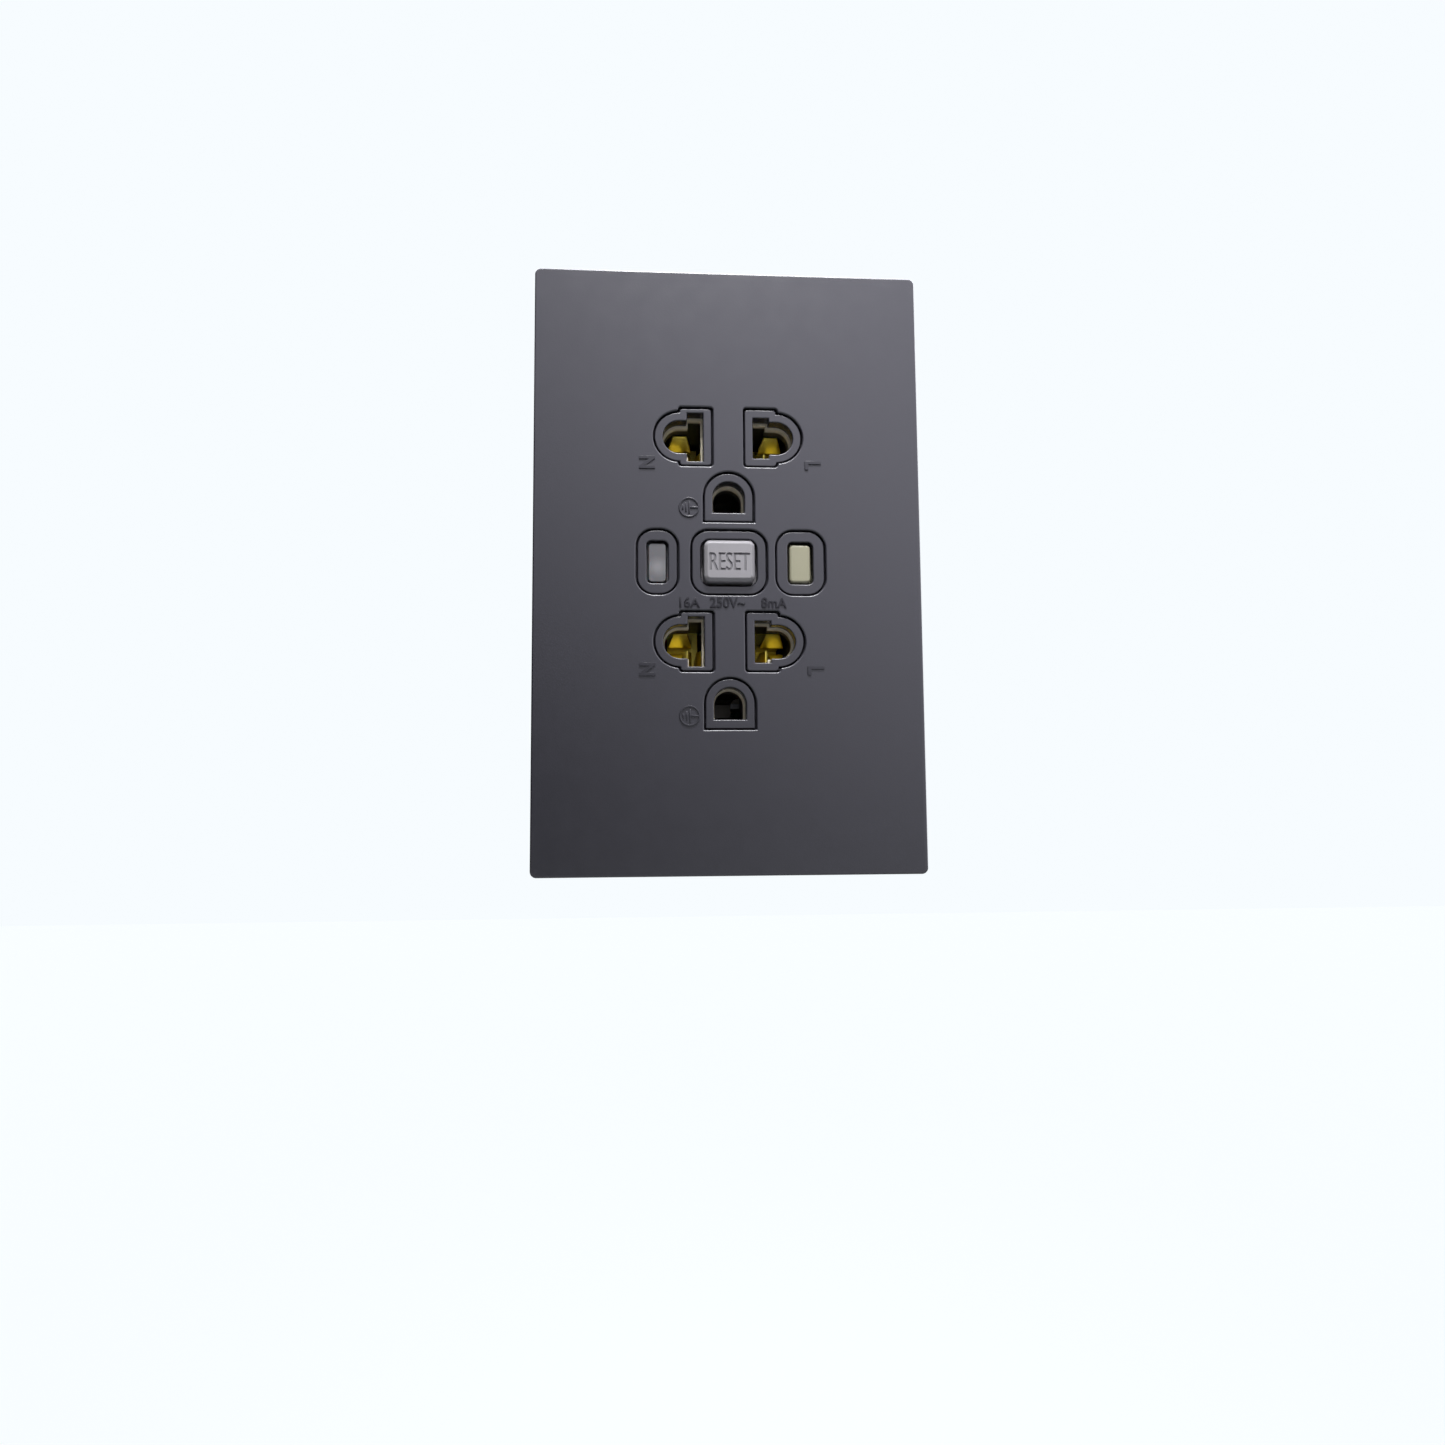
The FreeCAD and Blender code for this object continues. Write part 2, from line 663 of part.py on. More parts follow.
def front_housing():
    """Web with the raised bosses, a skirt down to the strap and four screw posts."""
    body = pad(0, 0, HOUSING_W, HOUSING_H, HOUSING_CORNER_R, WEB_Y, STRAP_Y)
    inner_w = HOUSING_W - 2 * FRONT_SKIRT_WALL
    inner_h = HOUSING_H - 2 * FRONT_SKIRT_WALL
    body = body.cut(pad(0, 0, inner_w, inner_h, CAVITY_CORNER_R, WEB_BACK_Y, CUT_PAST))
    posts = [rod_y(x, z, FRONT_POST_R, WEB_BACK_Y - MERGE, STRAP_Y) for x, z in CORNERS]
    body = fused([body] + boss_shapes(0, BOSS_Y, WEB_Y + MERGE) + posts)
    pilots = [rod_y(x, z, SCREW_R + RUN_GAP / 2, WEB_BACK_Y - PILOT_DEPTH, CUT_PAST) for x, z in CORNERS]
    return cut(body, through_holes(BOSS_Y - CUT_PAST, WEB_BACK_Y + CUT_PAST) + pilots)


def strap_outline():
    """Half outline of the strap from the right ear tip round to the left ear tip, mirrored below."""
    half_h = HOUSING_H / 2
    ear = EAR_W / 2
    half_w = HOUSING_W / 2
    top = half_h + EAR_SHOULDER
    c = STRAP_CHAMFER
    right = [(half_w, top - c), (half_w - c, top), (ear + c, top), (ear, top + c), (ear, STRAP_END_Z)]
    upper = right + [(-x, z) for x, z in reversed(right)]
    lower = [(-x, -z) for x, z in upper]
    points = [V(x, STRAP_Y, z) for x, z in upper + lower]
    return Part.Face(Part.makePolygon(points + points[:1])).extrude(V(0, STRAP_T, 0))


def box_slot(sz):
    """Slot for a box screw, long along the height."""
    z = sz * BOX_SCREW_PITCH / 2
    reach = BOX_SLOT_L / 2 - BOX_SLOT_R
    y0 = STRAP_Y - CUT_PAST
    ends = [rod_y(0, z + s * reach, BOX_SLOT_R, y0, CUT_PAST) for s in (-1, 1)]
    return fused(ends + [box(-BOX_SLOT_R, BOX_SLOT_R, y0, CUT_PAST, z - reach, z + reach)])


def earth_tab():
    """Foot of the strap bent back for the earth screw."""
    mid_y = STRAP_Y + STRAP_T / 2
    path = [V(mid_y, EARTH_TAB_Z + EARTH_TAB_ROOT, 0), V(mid_y, EARTH_TAB_Z, 0)]
    path += [V(EARTH_TAB_END_Y, EARTH_TAB_Z, 0)]
    half = EARTH_TAB_W / 2
    return strip(path, STRAP_T, along_x, EARTH_TAB_X - half, EARTH_TAB_X + half)


def mounting_strap():
    """Flat steel strap between the housings, open over the contacts and controls."""
    plate = strap_outline()
    y0 = STRAP_Y - CUT_PAST
    tools = [box_slot(sz) for sz in (-1, 1)]
    for slot_z, earth_z in zip(SLOT_LINES, EARTH_LINES):
        top = slot_z + POCKET_HALF_H + TRAY_WALL + FREE_GAP
        foot = earth_z - EARTH_POCKET - TRAY_WALL - RUN_GAP
        mid_z = (top + foot) / 2
        tools.append(pad(0, mid_z, 2 * STRAP_WINDOW_X, top - foot, STRAP_WINDOW_R, y0, CUT_PAST))
    tools.append(rod_y(0, CONTROL_Z, SPRING_HOLE_R, y0, CUT_PAST))
    tools.append(rod_y(TEST_X, CONTROL_Z, TEST_SPRING_HOLE_R, y0, CUT_PAST))
    tools.append(rod_y(LENS_X, CONTROL_Z, LIGHT_PIPE_R + LIGHT_PIPE_CLEAR, y0, CUT_PAST))
    tools += [rod_y(x, z, SCREW_R + FREE_GAP, y0, CUT_PAST) for x, z in CORNERS]
    tools += [rod_y(0, sz * FRAME_SCREW_Z, SCREW_R + RUN_GAP / 2, y0, CUT_PAST) for sz in (-1, 1)]
    hole_r = TERMINAL_SCREW_R + RUN_GAP / 2
    hole = rod_z(EARTH_TAB_X, EARTH_SCREW_Y, hole_r, EARTH_TAB_Z - STRAP_T, EARTH_TAB_Z + STRAP_T)
    return cut(fused([cut(plate, tools), earth_tab()]), [hole])


def earth_screw():
    """Screw through the strap's bent foot, head below."""
    seat = EARTH_TAB_Z - STRAP_T / 2 - EARTH_WIRE_GAP
    shank = rod_z(EARTH_TAB_X, EARTH_SCREW_Y, TERMINAL_SCREW_R, seat, EARTH_TAB_Z + EARTH_SCREW_TAIL)
    head = rod_z(EARTH_TAB_X, EARTH_SCREW_Y, TERMINAL_HEAD_R, seat - TERMINAL_HEAD_H, seat)
    return fused([shank, head])


def contact_tray():
    """Insulating tray: web, a collar at each hole and a tower around each contact."""
    w = 2 * (CAVITY_X - TRAY_FIT)
    h = 2 * (CAVITY_Z - TRAY_FIT)
    solids = [pad(0, 0, w, h, CAVITY_CORNER_R, 0, TRAY_T)]
    pockets = []
    cut_y = COLLAR_Y - CUT_PAST
    web_cut_y = TRAY_T + CUT_PAST
    for z in SLOT_LINES:
        for side, slot in contact_sides():
            x0 = side * (POCKET_IN - TRAY_WALL)
            x1 = side * (POCKET_OUT + TRAY_WALL)
            half = POCKET_HALF_H + TRAY_WALL
            solids.append(box(x0, x1, TOWER_Y, TOWER_D, z - half, z + half))
            solids.append(contact_hole(side, slot, z, COLLAR_RIM, COLLAR_Y, TOWER_Y + MERGE))
            pockets.append(contact_hole(side, slot, z, -COLLAR_INSET, cut_y, TRAY_T))
            pocket = box(side * POCKET_IN, side * POCKET_OUT, POCKET_LIP_Y, TOWER_D + CUT_PAST,
                         z - POCKET_HALF_H, z + POCKET_HALF_H)
            pockets.append(pocket)
    for z in EARTH_LINES:
        reach = EARTH_POCKET + TRAY_WALL
        solids.append(box(-reach, reach, TOWER_Y, TOWER_D, z - reach, z + reach))
        solids.append(dee(z, EARTH_HOLE_R + COLLAR_RIM, EARTH_HOLE_R + COLLAR_RIM, COLLAR_Y, TOWER_Y + MERGE))
        hole_r = EARTH_HOLE_R - COLLAR_INSET
        pockets.append(dee(z, hole_r, hole_r, cut_y, TRAY_T))
        pockets.append(box(-EARTH_POCKET, EARTH_POCKET, POCKET_LIP_Y, TOWER_D + CUT_PAST,
                           z - EARTH_POCKET, z + EARTH_POCKET))
        leg = EARTH_LEAF_W / 2 + FREE_GAP
        leg_z = z - EARTH_LEG_DROP
        pockets.append(box(-leg, leg, -CUT_PAST, web_cut_y, leg_z - 2 * EARTH_LEAF_T, leg_z + EARTH_LEAF_T))
    guide_y = TRAY_T + PIN_GUIDE_D
    solids.append(rod_y(0, CONTROL_Z, RESET_SPRING_R + PIN_GUIDE_RIM, 0, guide_y))
    pockets.append(rod_y(0, CONTROL_Z, RESET_PIN_R + FREE_GAP, -CUT_PAST, guide_y + CUT_PAST))
    pockets.append(box(TEST_X - STEM_W / 2 - FREE_GAP, TEST_X + STEM_W / 2 + FREE_GAP, -CUT_PAST, web_cut_y,
                       CONTROL_Z - STEM_H / 2 - FREE_GAP, CONTROL_Z + STEM_H / 2 + FREE_GAP))
    pockets.append(rod_y(LENS_X, CONTROL_Z, LIGHT_PIPE_R + FREE_GAP, -CUT_PAST, web_cut_y))
    pockets += [rod_y(x, z, BOSS_R + FREE_GAP, -CUT_PAST, web_cut_y) for x, z in CORNERS]
    return cut(fused(solids), pockets)


def rear_housing():
    """Deep cup with screw posts, side windows for the terminals and pads for the board."""
    body = pad(0, 0, HOUSING_W, HOUSING_H, HOUSING_CORNER_R, 0, HOUSING_BACK_Y)
    back = [e for e in body.Edges if e.BoundBox.YMin > HOUSING_BACK_Y - TOUCH]
    body = body.makeChamfer(BACK_CHAMFER, back)
    body = body.cut(pad(0, 0, 2 * CAVITY_X, 2 * CAVITY_Z, CAVITY_CORNER_R, -CUT_PAST, FLOOR_Y))
    posts = [rod_y(x, z, BOSS_R, 0, FLOOR_Y + MERGE) for x, z in CORNERS]
    shell = pad(0, 0, HOUSING_W, HOUSING_H, HOUSING_CORNER_R, 0, HOUSING_BACK_Y)
    posts = [post.common(shell) for post in posts]
    pad_z = CAVITY_Z - STANDOFF_INSET
    places = [(sx * STANDOFF_X, sz * pad_z) for sx in (-1, 1) for sz in (-1, 1)]
    pads = [rod_y(x, z, STANDOFF_R, BOARD_BACK_Y, FLOOR_Y + MERGE) for x, z in places]
    body = fused([body] + posts + pads)
    end_y = HOUSING_BACK_Y + CUT_PAST
    tools = [rod_y(x, z, SCREW_R + FREE_GAP, -CUT_PAST, end_y) for x, z in CORNERS]
    tools += [rod_y(x, z, SCREW_HEAD_R + FREE_GAP, SCREW_SEAT_Y, end_y) for x, z in CORNERS]
    for sx in (-1, 1):
        for sz in (-1, 1):
            half = TERMINAL_W / 2 + WINDOW_MARGIN
            z = sz * TERMINAL_Z
            y1 = BUS_BACK_Y + WINDOW_MARGIN
            x0 = sx * (CAVITY_X - CUT_PAST)
            x1 = sx * (HOUSING_W / 2 + CUT_PAST)
            tools.append(box(x0, x1, TERMINAL_Y - WINDOW_MARGIN, y1,
                             z - half, z + half))
    return cut(body, tools)


def housing_screws():
    """Four long screws from the back, through the strap, into the front housing."""
    screws = []
    for x, z in CORNERS:
        shank = rod_y(x, z, SCREW_R, WEB_BACK_Y - MERGE, SCREW_SEAT_Y)
        head = rod_y(x, z, SCREW_HEAD_R, SCREW_SEAT_Y, SCREW_SEAT_Y + SCREW_HEAD_H)
        screws.append(fused([shank, head]))
    return Part.makeCompound(screws)


def tapered(leaf, side, inner, z):
    """Lip of a pin leaf with its corners cut off, so that it narrows towards the tip."""
    root_y = THROAT_Y - TAPER_ROOT
    tip_y = LIP_Y - CUT_PAST
    narrow = LIP_TAPER * (PIN_LEAF_OUT - inner) * (root_y - tip_y) / (root_y - LIP_Y)
    foot_z = z - LIP_RISE - CUT_PAST
    corners = []
    for edge, inward in ((inner, 1), (PIN_LEAF_OUT, -1)):
        past_x = side * (edge - inward * CUT_PAST)
        outline = [V(side * edge, root_y, foot_z), V(side * (edge + inward * narrow), tip_y, foot_z)]
        outline += [V(past_x, tip_y, foot_z), V(past_x, root_y, foot_z)]
        corners.append(flat_face(outline).extrude(V(0, 0, 2 * (z - foot_z))))
    return cut(leaf, corners)


def contact_leaves(side, z):
    """Four spring leaves of one outlet on one side: two for the round pin, two for the blade."""
    root = TOWER_D + BUS_T / 2
    leaves = []
    for sign, inner, throat in ((1, PIN_UPPER_IN, PIN_THROAT), (-1, PIN_LOWER_IN, PIN_LOWER_THROAT)):
        path = [V(LIP_Y, z + sign * LIP_RISE, 0), V(THROAT_Y, z + sign * throat, 0)]
        path += [V(LEAF_BEND_Y, z + sign * LEAF_ROOT_RISE, 0), V(root, z + sign * LEAF_ROOT_RISE, 0)]
        leaf = strip(path, LEAF_T, along_x, side * inner, side * PIN_LEAF_OUT)
        leaves.append(tapered(leaf, side, inner, z))
    for sign in (-1, 1):
        path = [V(side * (BLADE_X + sign * BLADE_LIP), LIP_Y, 0)]
        path += [V(side * (BLADE_X + sign * BLADE_THROAT), THROAT_Y, 0)]
        back_x = side * (BLADE_X + sign * (BLADE_THROAT + BLADE_SPREAD))
        path += [V(back_x, LEAF_BEND_Y, 0), V(back_x, root, 0)]
        leaves.append(strip(path, LEAF_T, along_z, z + BLADE_LEAF_FOOT, z + BLADE_LEAF_TOP))
    return leaves


def contact_strip(side):
    """Bus bar along the back of the towers with the leaves of both outlets and a side terminal."""
    top = SLOT_LINES[0] + POCKET_HALF_H - BUS_TOP_INSET
    foot = -TERMINAL_Z - TERMINAL_W / 2
    bus = box(side * (BLADE_X - BUS_INNER), side * PIN_LEAF_OUT, TOWER_D, BUS_BACK_Y, foot, top)
    mid_y = TOWER_D + BUS_T / 2
    path = [V(side * PIN_X, mid_y, 0), V(side * TERMINAL_X, mid_y, 0), V(side * TERMINAL_X, TERMINAL_Y, 0)]
    terminal = strip(path, BUS_T, along_z, foot, foot + TERMINAL_W)
    pieces = [bus, terminal]
    for z in SLOT_LINES:
        pieces += contact_leaves(side, z)
    hole = rod_x(TERMINAL_SCREW_Y, -TERMINAL_Z, TERMINAL_SCREW_R + RUN_GAP / 2,
                 side * (TERMINAL_X - CUT_PAST), side * (TERMINAL_X + CUT_PAST))
    return cut(fused(pieces), [hole])


def supply_terminal(side):
    """Side terminal with a leg down to the circuit board."""
    mid_y = TOWER_D + BUS_T / 2
    path = [V(side * TERMINAL_X, TERMINAL_Y, 0), V(side * TERMINAL_X, mid_y, 0)]
    path += [V(side * SUPPLY_LEG_X, mid_y, 0), V(side * SUPPLY_LEG_X, BOARD_Y, 0)]
    z0 = TERMINAL_Z - TERMINAL_W / 2
    hole = rod_x(TERMINAL_SCREW_Y, TERMINAL_Z, TERMINAL_SCREW_R + RUN_GAP / 2,
                 side * (TERMINAL_X - CUT_PAST), side * (TERMINAL_X + CUT_PAST))
    return strip(path, BUS_T, along_z, z0, z0 + TERMINAL_W).cut(hole)


def earth_contact(z):
    """Clip around the earth pin, with a leg forward to the strap."""
    root = TOWER_D + EARTH_LEAF_T / 2
    grip = EARTH_THROAT + EARTH_SPREAD
    upper = [(LIP_Y, EARTH_LIP), (THROAT_Y, EARTH_THROAT), (EARTH_BEND_Y, grip), (root, grip)]
    lower = [(y, -rise) for y, rise in reversed(upper)]
    half = EARTH_LEAF_W / 2
    clip = strip([V(y, z + rise, 0) for y, rise in upper + lower], EARTH_LEAF_T, along_x, -half, half)
    leg_z = z - EARTH_LEG_DROP
    path = [V(root, z - EARTH_LEG_ROOT, 0), V(root, leg_z, 0), V(0, leg_z, 0)]
    leg = strip(path, EARTH_LEAF_T, along_x, -half, half)
    return fused([clip, leg])


def clamp_plates():
    plates = []
    for sx in (-1, 1):
        for sz in (-1, 1):
            x0 = sx * TERMINAL_OUT_X
            x1 = sx * (TERMINAL_OUT_X + CLAMP_T)
            z = sz * TERMINAL_Z
            half = TERMINAL_W / 2 - CLAMP_MARGIN
            y0 = TERMINAL_SCREW_Y - CLAMP_D / 2
            plate = box(x0, x1, y0, y0 + CLAMP_D, z - half, z + half)
            hole = rod_x(TERMINAL_SCREW_Y, z, TERMINAL_SCREW_R + FREE_GAP, x0 - sx * MERGE, x1 + sx * MERGE)
            plates.append(plate.cut(hole))
    return Part.makeCompound(plates)


def terminal_screws(side):
    screws = []
    for sz in (-1, 1):
        z = sz * TERMINAL_Z
        head_x = side * (TERMINAL_OUT_X + CLAMP_T)
        head = rod_x(TERMINAL_SCREW_Y, z, TERMINAL_HEAD_R, head_x, head_x + side * TERMINAL_HEAD_H)
        shank = rod_x(TERMINAL_SCREW_Y, z, TERMINAL_SCREW_R, head_x - side * TERMINAL_SCREW_L, head_x)
        screws.append(fused([head, shank]))
    return Part.makeCompound(screws)


def rivets(r, y0):
    return Part.makeCompound([rivet(side, r, y0) for side in (-1, 1)])


def rivet(side, r, y0):
    return rod_y(side * RIVET_X, RIVET_Z, r, y0, y0 + RIVET_T)


def contact_arm(side):
    """Spring arm that carries a moving contact, free to swing at its upper end."""
    x = side * RIVET_X
    z0 = RIVET_Z - ARM_TIP
    z1 = ARM_PIVOT_Z + POST_T
    bar = box(x - ARM_W / 2, x + ARM_W / 2, ARM_Y, ARM_BACK_Y, z0, z1)
    low = [e for e in bar.Edges if e.BoundBox.ZMax < z0 + TOUCH]
    tip = [e for e in low if abs(e.tangentAt(e.FirstParameter).y) > 0.9]
    return bar.makeFillet(ARM_TIP_R, tip)


def arm_posts():
    posts = []
    for side in (-1, 1):
        x = side * RIVET_X
        half = POST_W / 2
        foot = ARM_BACK_Y + RUN_GAP
        posts.append(box(x - half, x + half, foot, BOARD_Y, ARM_PIVOT_Z, ARM_PIVOT_Z + POST_T))
    return Part.makeCompound(posts)


def reset_button():
    """Bevelled cap with a retaining flange and a well for the spring."""
    w = RESET_HOLE_W - 2 * RESET_PLAY
    h = RESET_HOLE_H - 2 * RESET_PLAY
    top_y = FACE_Y - RESET_PROUD
    cap = pad(0, CONTROL_Z, w, h, RESET_CORNER_R, top_y, FLANGE_Y)
    rim = [e for e in cap.Edges if e.BoundBox.YMax < top_y + TOUCH]
    cap = cap.makeChamfer(RESET_BEVEL, rim)
    flange_w = RESET_HOLE_W + 2 * FLANGE_RIM
    flange_h = RESET_HOLE_H + 2 * FLANGE_RIM
    flange = pad(0, CONTROL_Z, flange_w, flange_h, RESET_CORNER_R, FLANGE_Y, FLANGE_Y + RESET_FLANGE_T)
    well = rod_y(0, CONTROL_Z, SPRING_HOLE_R - FREE_GAP, WELL_Y, 0)
    bore = rod_y(0, CONTROL_Z, RESET_PIN_R + RUN_GAP / 2, FACE_Y - PIN_PROUD, 0)
    return cut(fused([cap, flange]), [well, bore])


def reset_pin():
    """Pin with a neck for the latch plate and a cone at its end."""
    z = CONTROL_Z
    neck_y = LATCH_Y - RESET_NECK_RUN
    shank = rod_y(0, z, RESET_PIN_R, FACE_Y - PIN_PROUD, neck_y)
    neck = rod_y(0, z, RESET_NECK_R, neck_y, SHOULDER_Y)
    head = rod_y(0, z, RESET_PIN_R, SHOULDER_Y, PIN_CONE_Y)
    cone = Part.makeCone(RESET_PIN_R, PIN_TIP_R, PIN_END_Y - PIN_CONE_Y, V(0, PIN_CONE_Y, z), V(0, 1, 0))
    return fused([shank, neck, head, cone])


def reset_spring():
    return stand_along_y(coil_spring(RESET_SPRING_R, RESET_WIRE, -WELL_Y, RESET_TURNS), 0, WELL_Y, CONTROL_Z)


def test_button():
    """Small key with a retaining flange and a long stem to the test contacts."""
    w = TEST_HOLE_W - 2 * TEST_PLAY
    h = SIDE_HOLE_H - 2 * TEST_PLAY
    key = pad(TEST_X, CONTROL_Z, w, h, TEST_CORNER_R, FACE_Y + TEST_SUNK, FLANGE_Y)
    rim = [e for e in key.Edges if e.BoundBox.YMax < FACE_Y + TEST_SUNK + TOUCH]
    key = key.makeChamfer(TEST_BEVEL, rim)
    flange_w = TEST_HOLE_W + 2 * SIDE_FLANGE_RIM
    flange_h = SIDE_HOLE_H + 2 * FLANGE_RIM
    flange = pad(TEST_X, CONTROL_Z, flange_w, flange_h, SIDE_FLANGE_R, FLANGE_Y, FLANGE_Y + SIDE_FLANGE_T)
    stem = box(TEST_X - STEM_W / 2, TEST_X + STEM_W / 2, FLANGE_Y, STEM_END_Y,
               CONTROL_Z - STEM_H / 2, CONTROL_Z + STEM_H / 2)
    return fused([key, flange, stem])


def test_spring():
    y0 = FLANGE_Y + SIDE_FLANGE_T
    return stand_along_y(coil_spring(TEST_SPRING_R, TEST_WIRE, -y0, TEST_TURNS), TEST_X, y0, CONTROL_Z)


def test_contacts():
    """Spring blade behind the stem and the fixed contact behind the blade."""
    y = STEM_END_Y + TEST_TRAVEL + FREE_GAP + TEST_BLADE_T / 2
    x0 = TEST_X - TEST_BLADE_W / 2
    x1 = TEST_X + TEST_BLADE_W / 2
    path = [V(BOARD_Y, TEST_BLADE_ROOT_Z, 0), V(y, TEST_BLADE_ROOT_Z, 0), V(y, TEST_BLADE_TIP_Z, 0)]
    blade = strip(path, TEST_BLADE_T, along_x, x0, x1)
    back = y + TEST_CONTACT_GAP
    path = [V(BOARD_Y, TEST_FIXED_ROOT_Z, 0), V(back, TEST_FIXED_ROOT_Z, 0), V(back, TEST_FIXED_TIP_Z, 0)]
    return Part.makeCompound([blade, strip(path, TEST_BLADE_T, along_x, x0, x1)])


def indicator_lens():
    """Clear moulding: lens, flange against the web and a light pipe to the lamp."""
    w = LENS_HOLE_W - 2 * LENS_PLAY
    h = SIDE_HOLE_H - 2 * LENS_PLAY
    lens = pad(LENS_X, CONTROL_Z, w, h, LENS_CORNER_R, FACE_Y + LENS_SUNK, WEB_BACK_Y)
    flange_w = LENS_HOLE_W + 2 * FLANGE_RIM
    flange_h = SIDE_HOLE_H + 2 * FLANGE_RIM
    flange = pad(LENS_X, CONTROL_Z, flange_w, flange_h, SIDE_FLANGE_R, WEB_BACK_Y, WEB_BACK_Y + SIDE_FLANGE_T)
    pipe = rod_y(LENS_X, CONTROL_Z, LIGHT_PIPE_R, WEB_BACK_Y, BOARD_Y - LIGHT_PIPE_TO_BOARD)
    return fused([lens, flange, pipe])


def indicator_led():
    body = rod_y(LENS_X, CONTROL_Z, LED_R, BOARD_Y - LED_H, BOARD_Y)
    dome = Part.makeCone(LED_R, LED_R / 2, LED_TIP, V(LENS_X, BOARD_Y - LED_H, CONTROL_Z), V(0, -1, 0))
    foot = rod_y(LENS_X, CONTROL_Z, LED_R + LED_FOOT_RIM, BOARD_Y - LED_FOOT_T, BOARD_Y)
    return fused([body, dome, foot])


def circuit_board():
    board = pad(0, 0, 2 * BOARD_X, 2 * BOARD_Z, BOARD_CORNER_R, BOARD_Y, BOARD_BACK_Y)
    y0 = BOARD_Y - CUT_PAST
    y1 = BOARD_BACK_Y + CUT_PAST
    return cut(board, [rod_y(x, z, BOSS_R + FREE_GAP, y0, y1) for x, z in CORNERS])


def wound_ring(y0):
    """Toroidal core with its winding, seen as one ring."""
    y1 = y0 + TRANSFORMER_RING
    ring = rod_y(0, TRANSFORMER_Z, TRANSFORMER_R, y0, y1)
    return ring.cut(rod_y(0, TRANSFORMER_Z, TRANSFORMER_BORE_R, y0 - CUT_PAST, y1 + CUT_PAST))


def transformer_cup():
    """Insulating floor and centre sleeve that carry both rings."""
    floor_y = BOARD_Y - CUP_FLOOR
    top_y = RING_Y - TRANSFORMER_RING - 2 * RING_GAP
    sleeve_r = TRANSFORMER_BORE_R - RUN_GAP
    floor = rod_y(0, TRANSFORMER_Z, TRANSFORMER_R + CUP_RIM, floor_y, BOARD_Y)
    sleeve = rod_y(0, TRANSFORMER_Z, sleeve_r, top_y, floor_y + MERGE)
    bore = rod_y(0, TRANSFORMER_Z, sleeve_r - CUP_SLEEVE_T, top_y - CUT_PAST, BOARD_Y + CUT_PAST)
    return cut(fused([floor, sleeve]), [bore])


def primary_conductors():
    """Two stiff loops that carry the load current through the rings."""
    front_y = ARM_Y - CONDUCTOR_LEAD
    top_z = TRANSFORMER_Z + CONDUCTOR_RISE
    half = CONDUCTOR_W / 2
    loops = []
    for sx in (-1, 1):
        path = [V(BOARD_Y, TRANSFORMER_Z, 0), V(front_y, TRANSFORMER_Z, 0)]
        path += [V(front_y, top_z, 0), V(BOARD_Y, top_z, 0)]
        x = sx * CONDUCTOR_X
        loops.append(strip(path, CONDUCTOR_T, along_x, x - half, x + half))
    return Part.makeCompound(loops)


def solenoid_bobbin():
    tube = rod_z(0, SOLENOID_Y, BOBBIN_TUBE_R, BOBBIN_Z0, BOBBIN_Z1)
    f = BOBBIN_FLANGE
    low = box(-f, f, SOLENOID_Y - f, BOARD_Y, BOBBIN_Z0, BOBBIN_Z0 + BOBBIN_FLANGE_T)
    high = box(-f, f, SOLENOID_Y - f, BOARD_Y, BOBBIN_Z1 - BOBBIN_FLANGE_T, BOBBIN_Z1)
    bore = rod_z(0, SOLENOID_Y, BOBBIN_BORE_R, BOBBIN_Z0 - CUT_PAST, BOBBIN_Z1 + CUT_PAST)
    return cut(fused([tube, low, high]), [bore])


def solenoid_coil():
    z0 = BOBBIN_Z0 + BOBBIN_FLANGE_T
    z1 = BOBBIN_Z1 - BOBBIN_FLANGE_T
    winding = rod_z(0, SOLENOID_Y, COIL_R, z0, z1)
    return winding.cut(rod_z(0, SOLENOID_Y, BOBBIN_TUBE_R + RUN_GAP / 2, z0 - CUT_PAST, z1 + CUT_PAST))


def solenoid_yoke():
    """Steel bent round the coil, with a hole for the plunger at each end."""
    z0 = BOBBIN_Z0 - YOKE_T / 2
    z1 = BOBBIN_Z1 + YOKE_T / 2
    path = [V(YOKE_END_X, z0, 0), V(YOKE_X, z0, 0), V(YOKE_X, z1, 0), V(YOKE_END_X, z1, 0)]
    yoke = strip(path, YOKE_T, along_y, SOLENOID_Y - YOKE_W / 2, SOLENOID_Y + YOKE_W / 2)
    low = rod_z(0, SOLENOID_Y, PLUNGER_R + FREE_GAP, z0 - YOKE_T, z0 + YOKE_T)
    high = rod_z(0, SOLENOID_Y, PLUNGER_TIP_R + FREE_GAP, z1 - YOKE_T, z1 + YOKE_T)
    return cut(yoke, [low, high])


def plunger():
    """Steel core with a thin tip towards the latch plate and a flat head at its tail."""
    step_z = BOBBIN_Z1 - PLUNGER_TRAVEL - FREE_GAP
    core = rod_z(0, SOLENOID_Y, PLUNGER_R, PLUNGER_TAIL_Z, step_z)
    tip = rod_z(0, SOLENOID_Y, PLUNGER_TIP_R, step_z, LATCH_FOOT_Z - RUN_GAP)
    head = rod_z(0, SOLENOID_Y, PLUNGER_HEAD_R, PLUNGER_TAIL_Z - PLUNGER_HEAD_T, PLUNGER_TAIL_Z)
    return fused([core, tip, head])


def plunger_spring():
    spring = coil_spring(PLUNGER_HEAD_R, PLUNGER_WIRE, PLUNGER_TAIL, PLUNGER_TURNS)
    spring.translate(V(0, SOLENOID_Y, PLUNGER_TAIL_Z))
    return spring


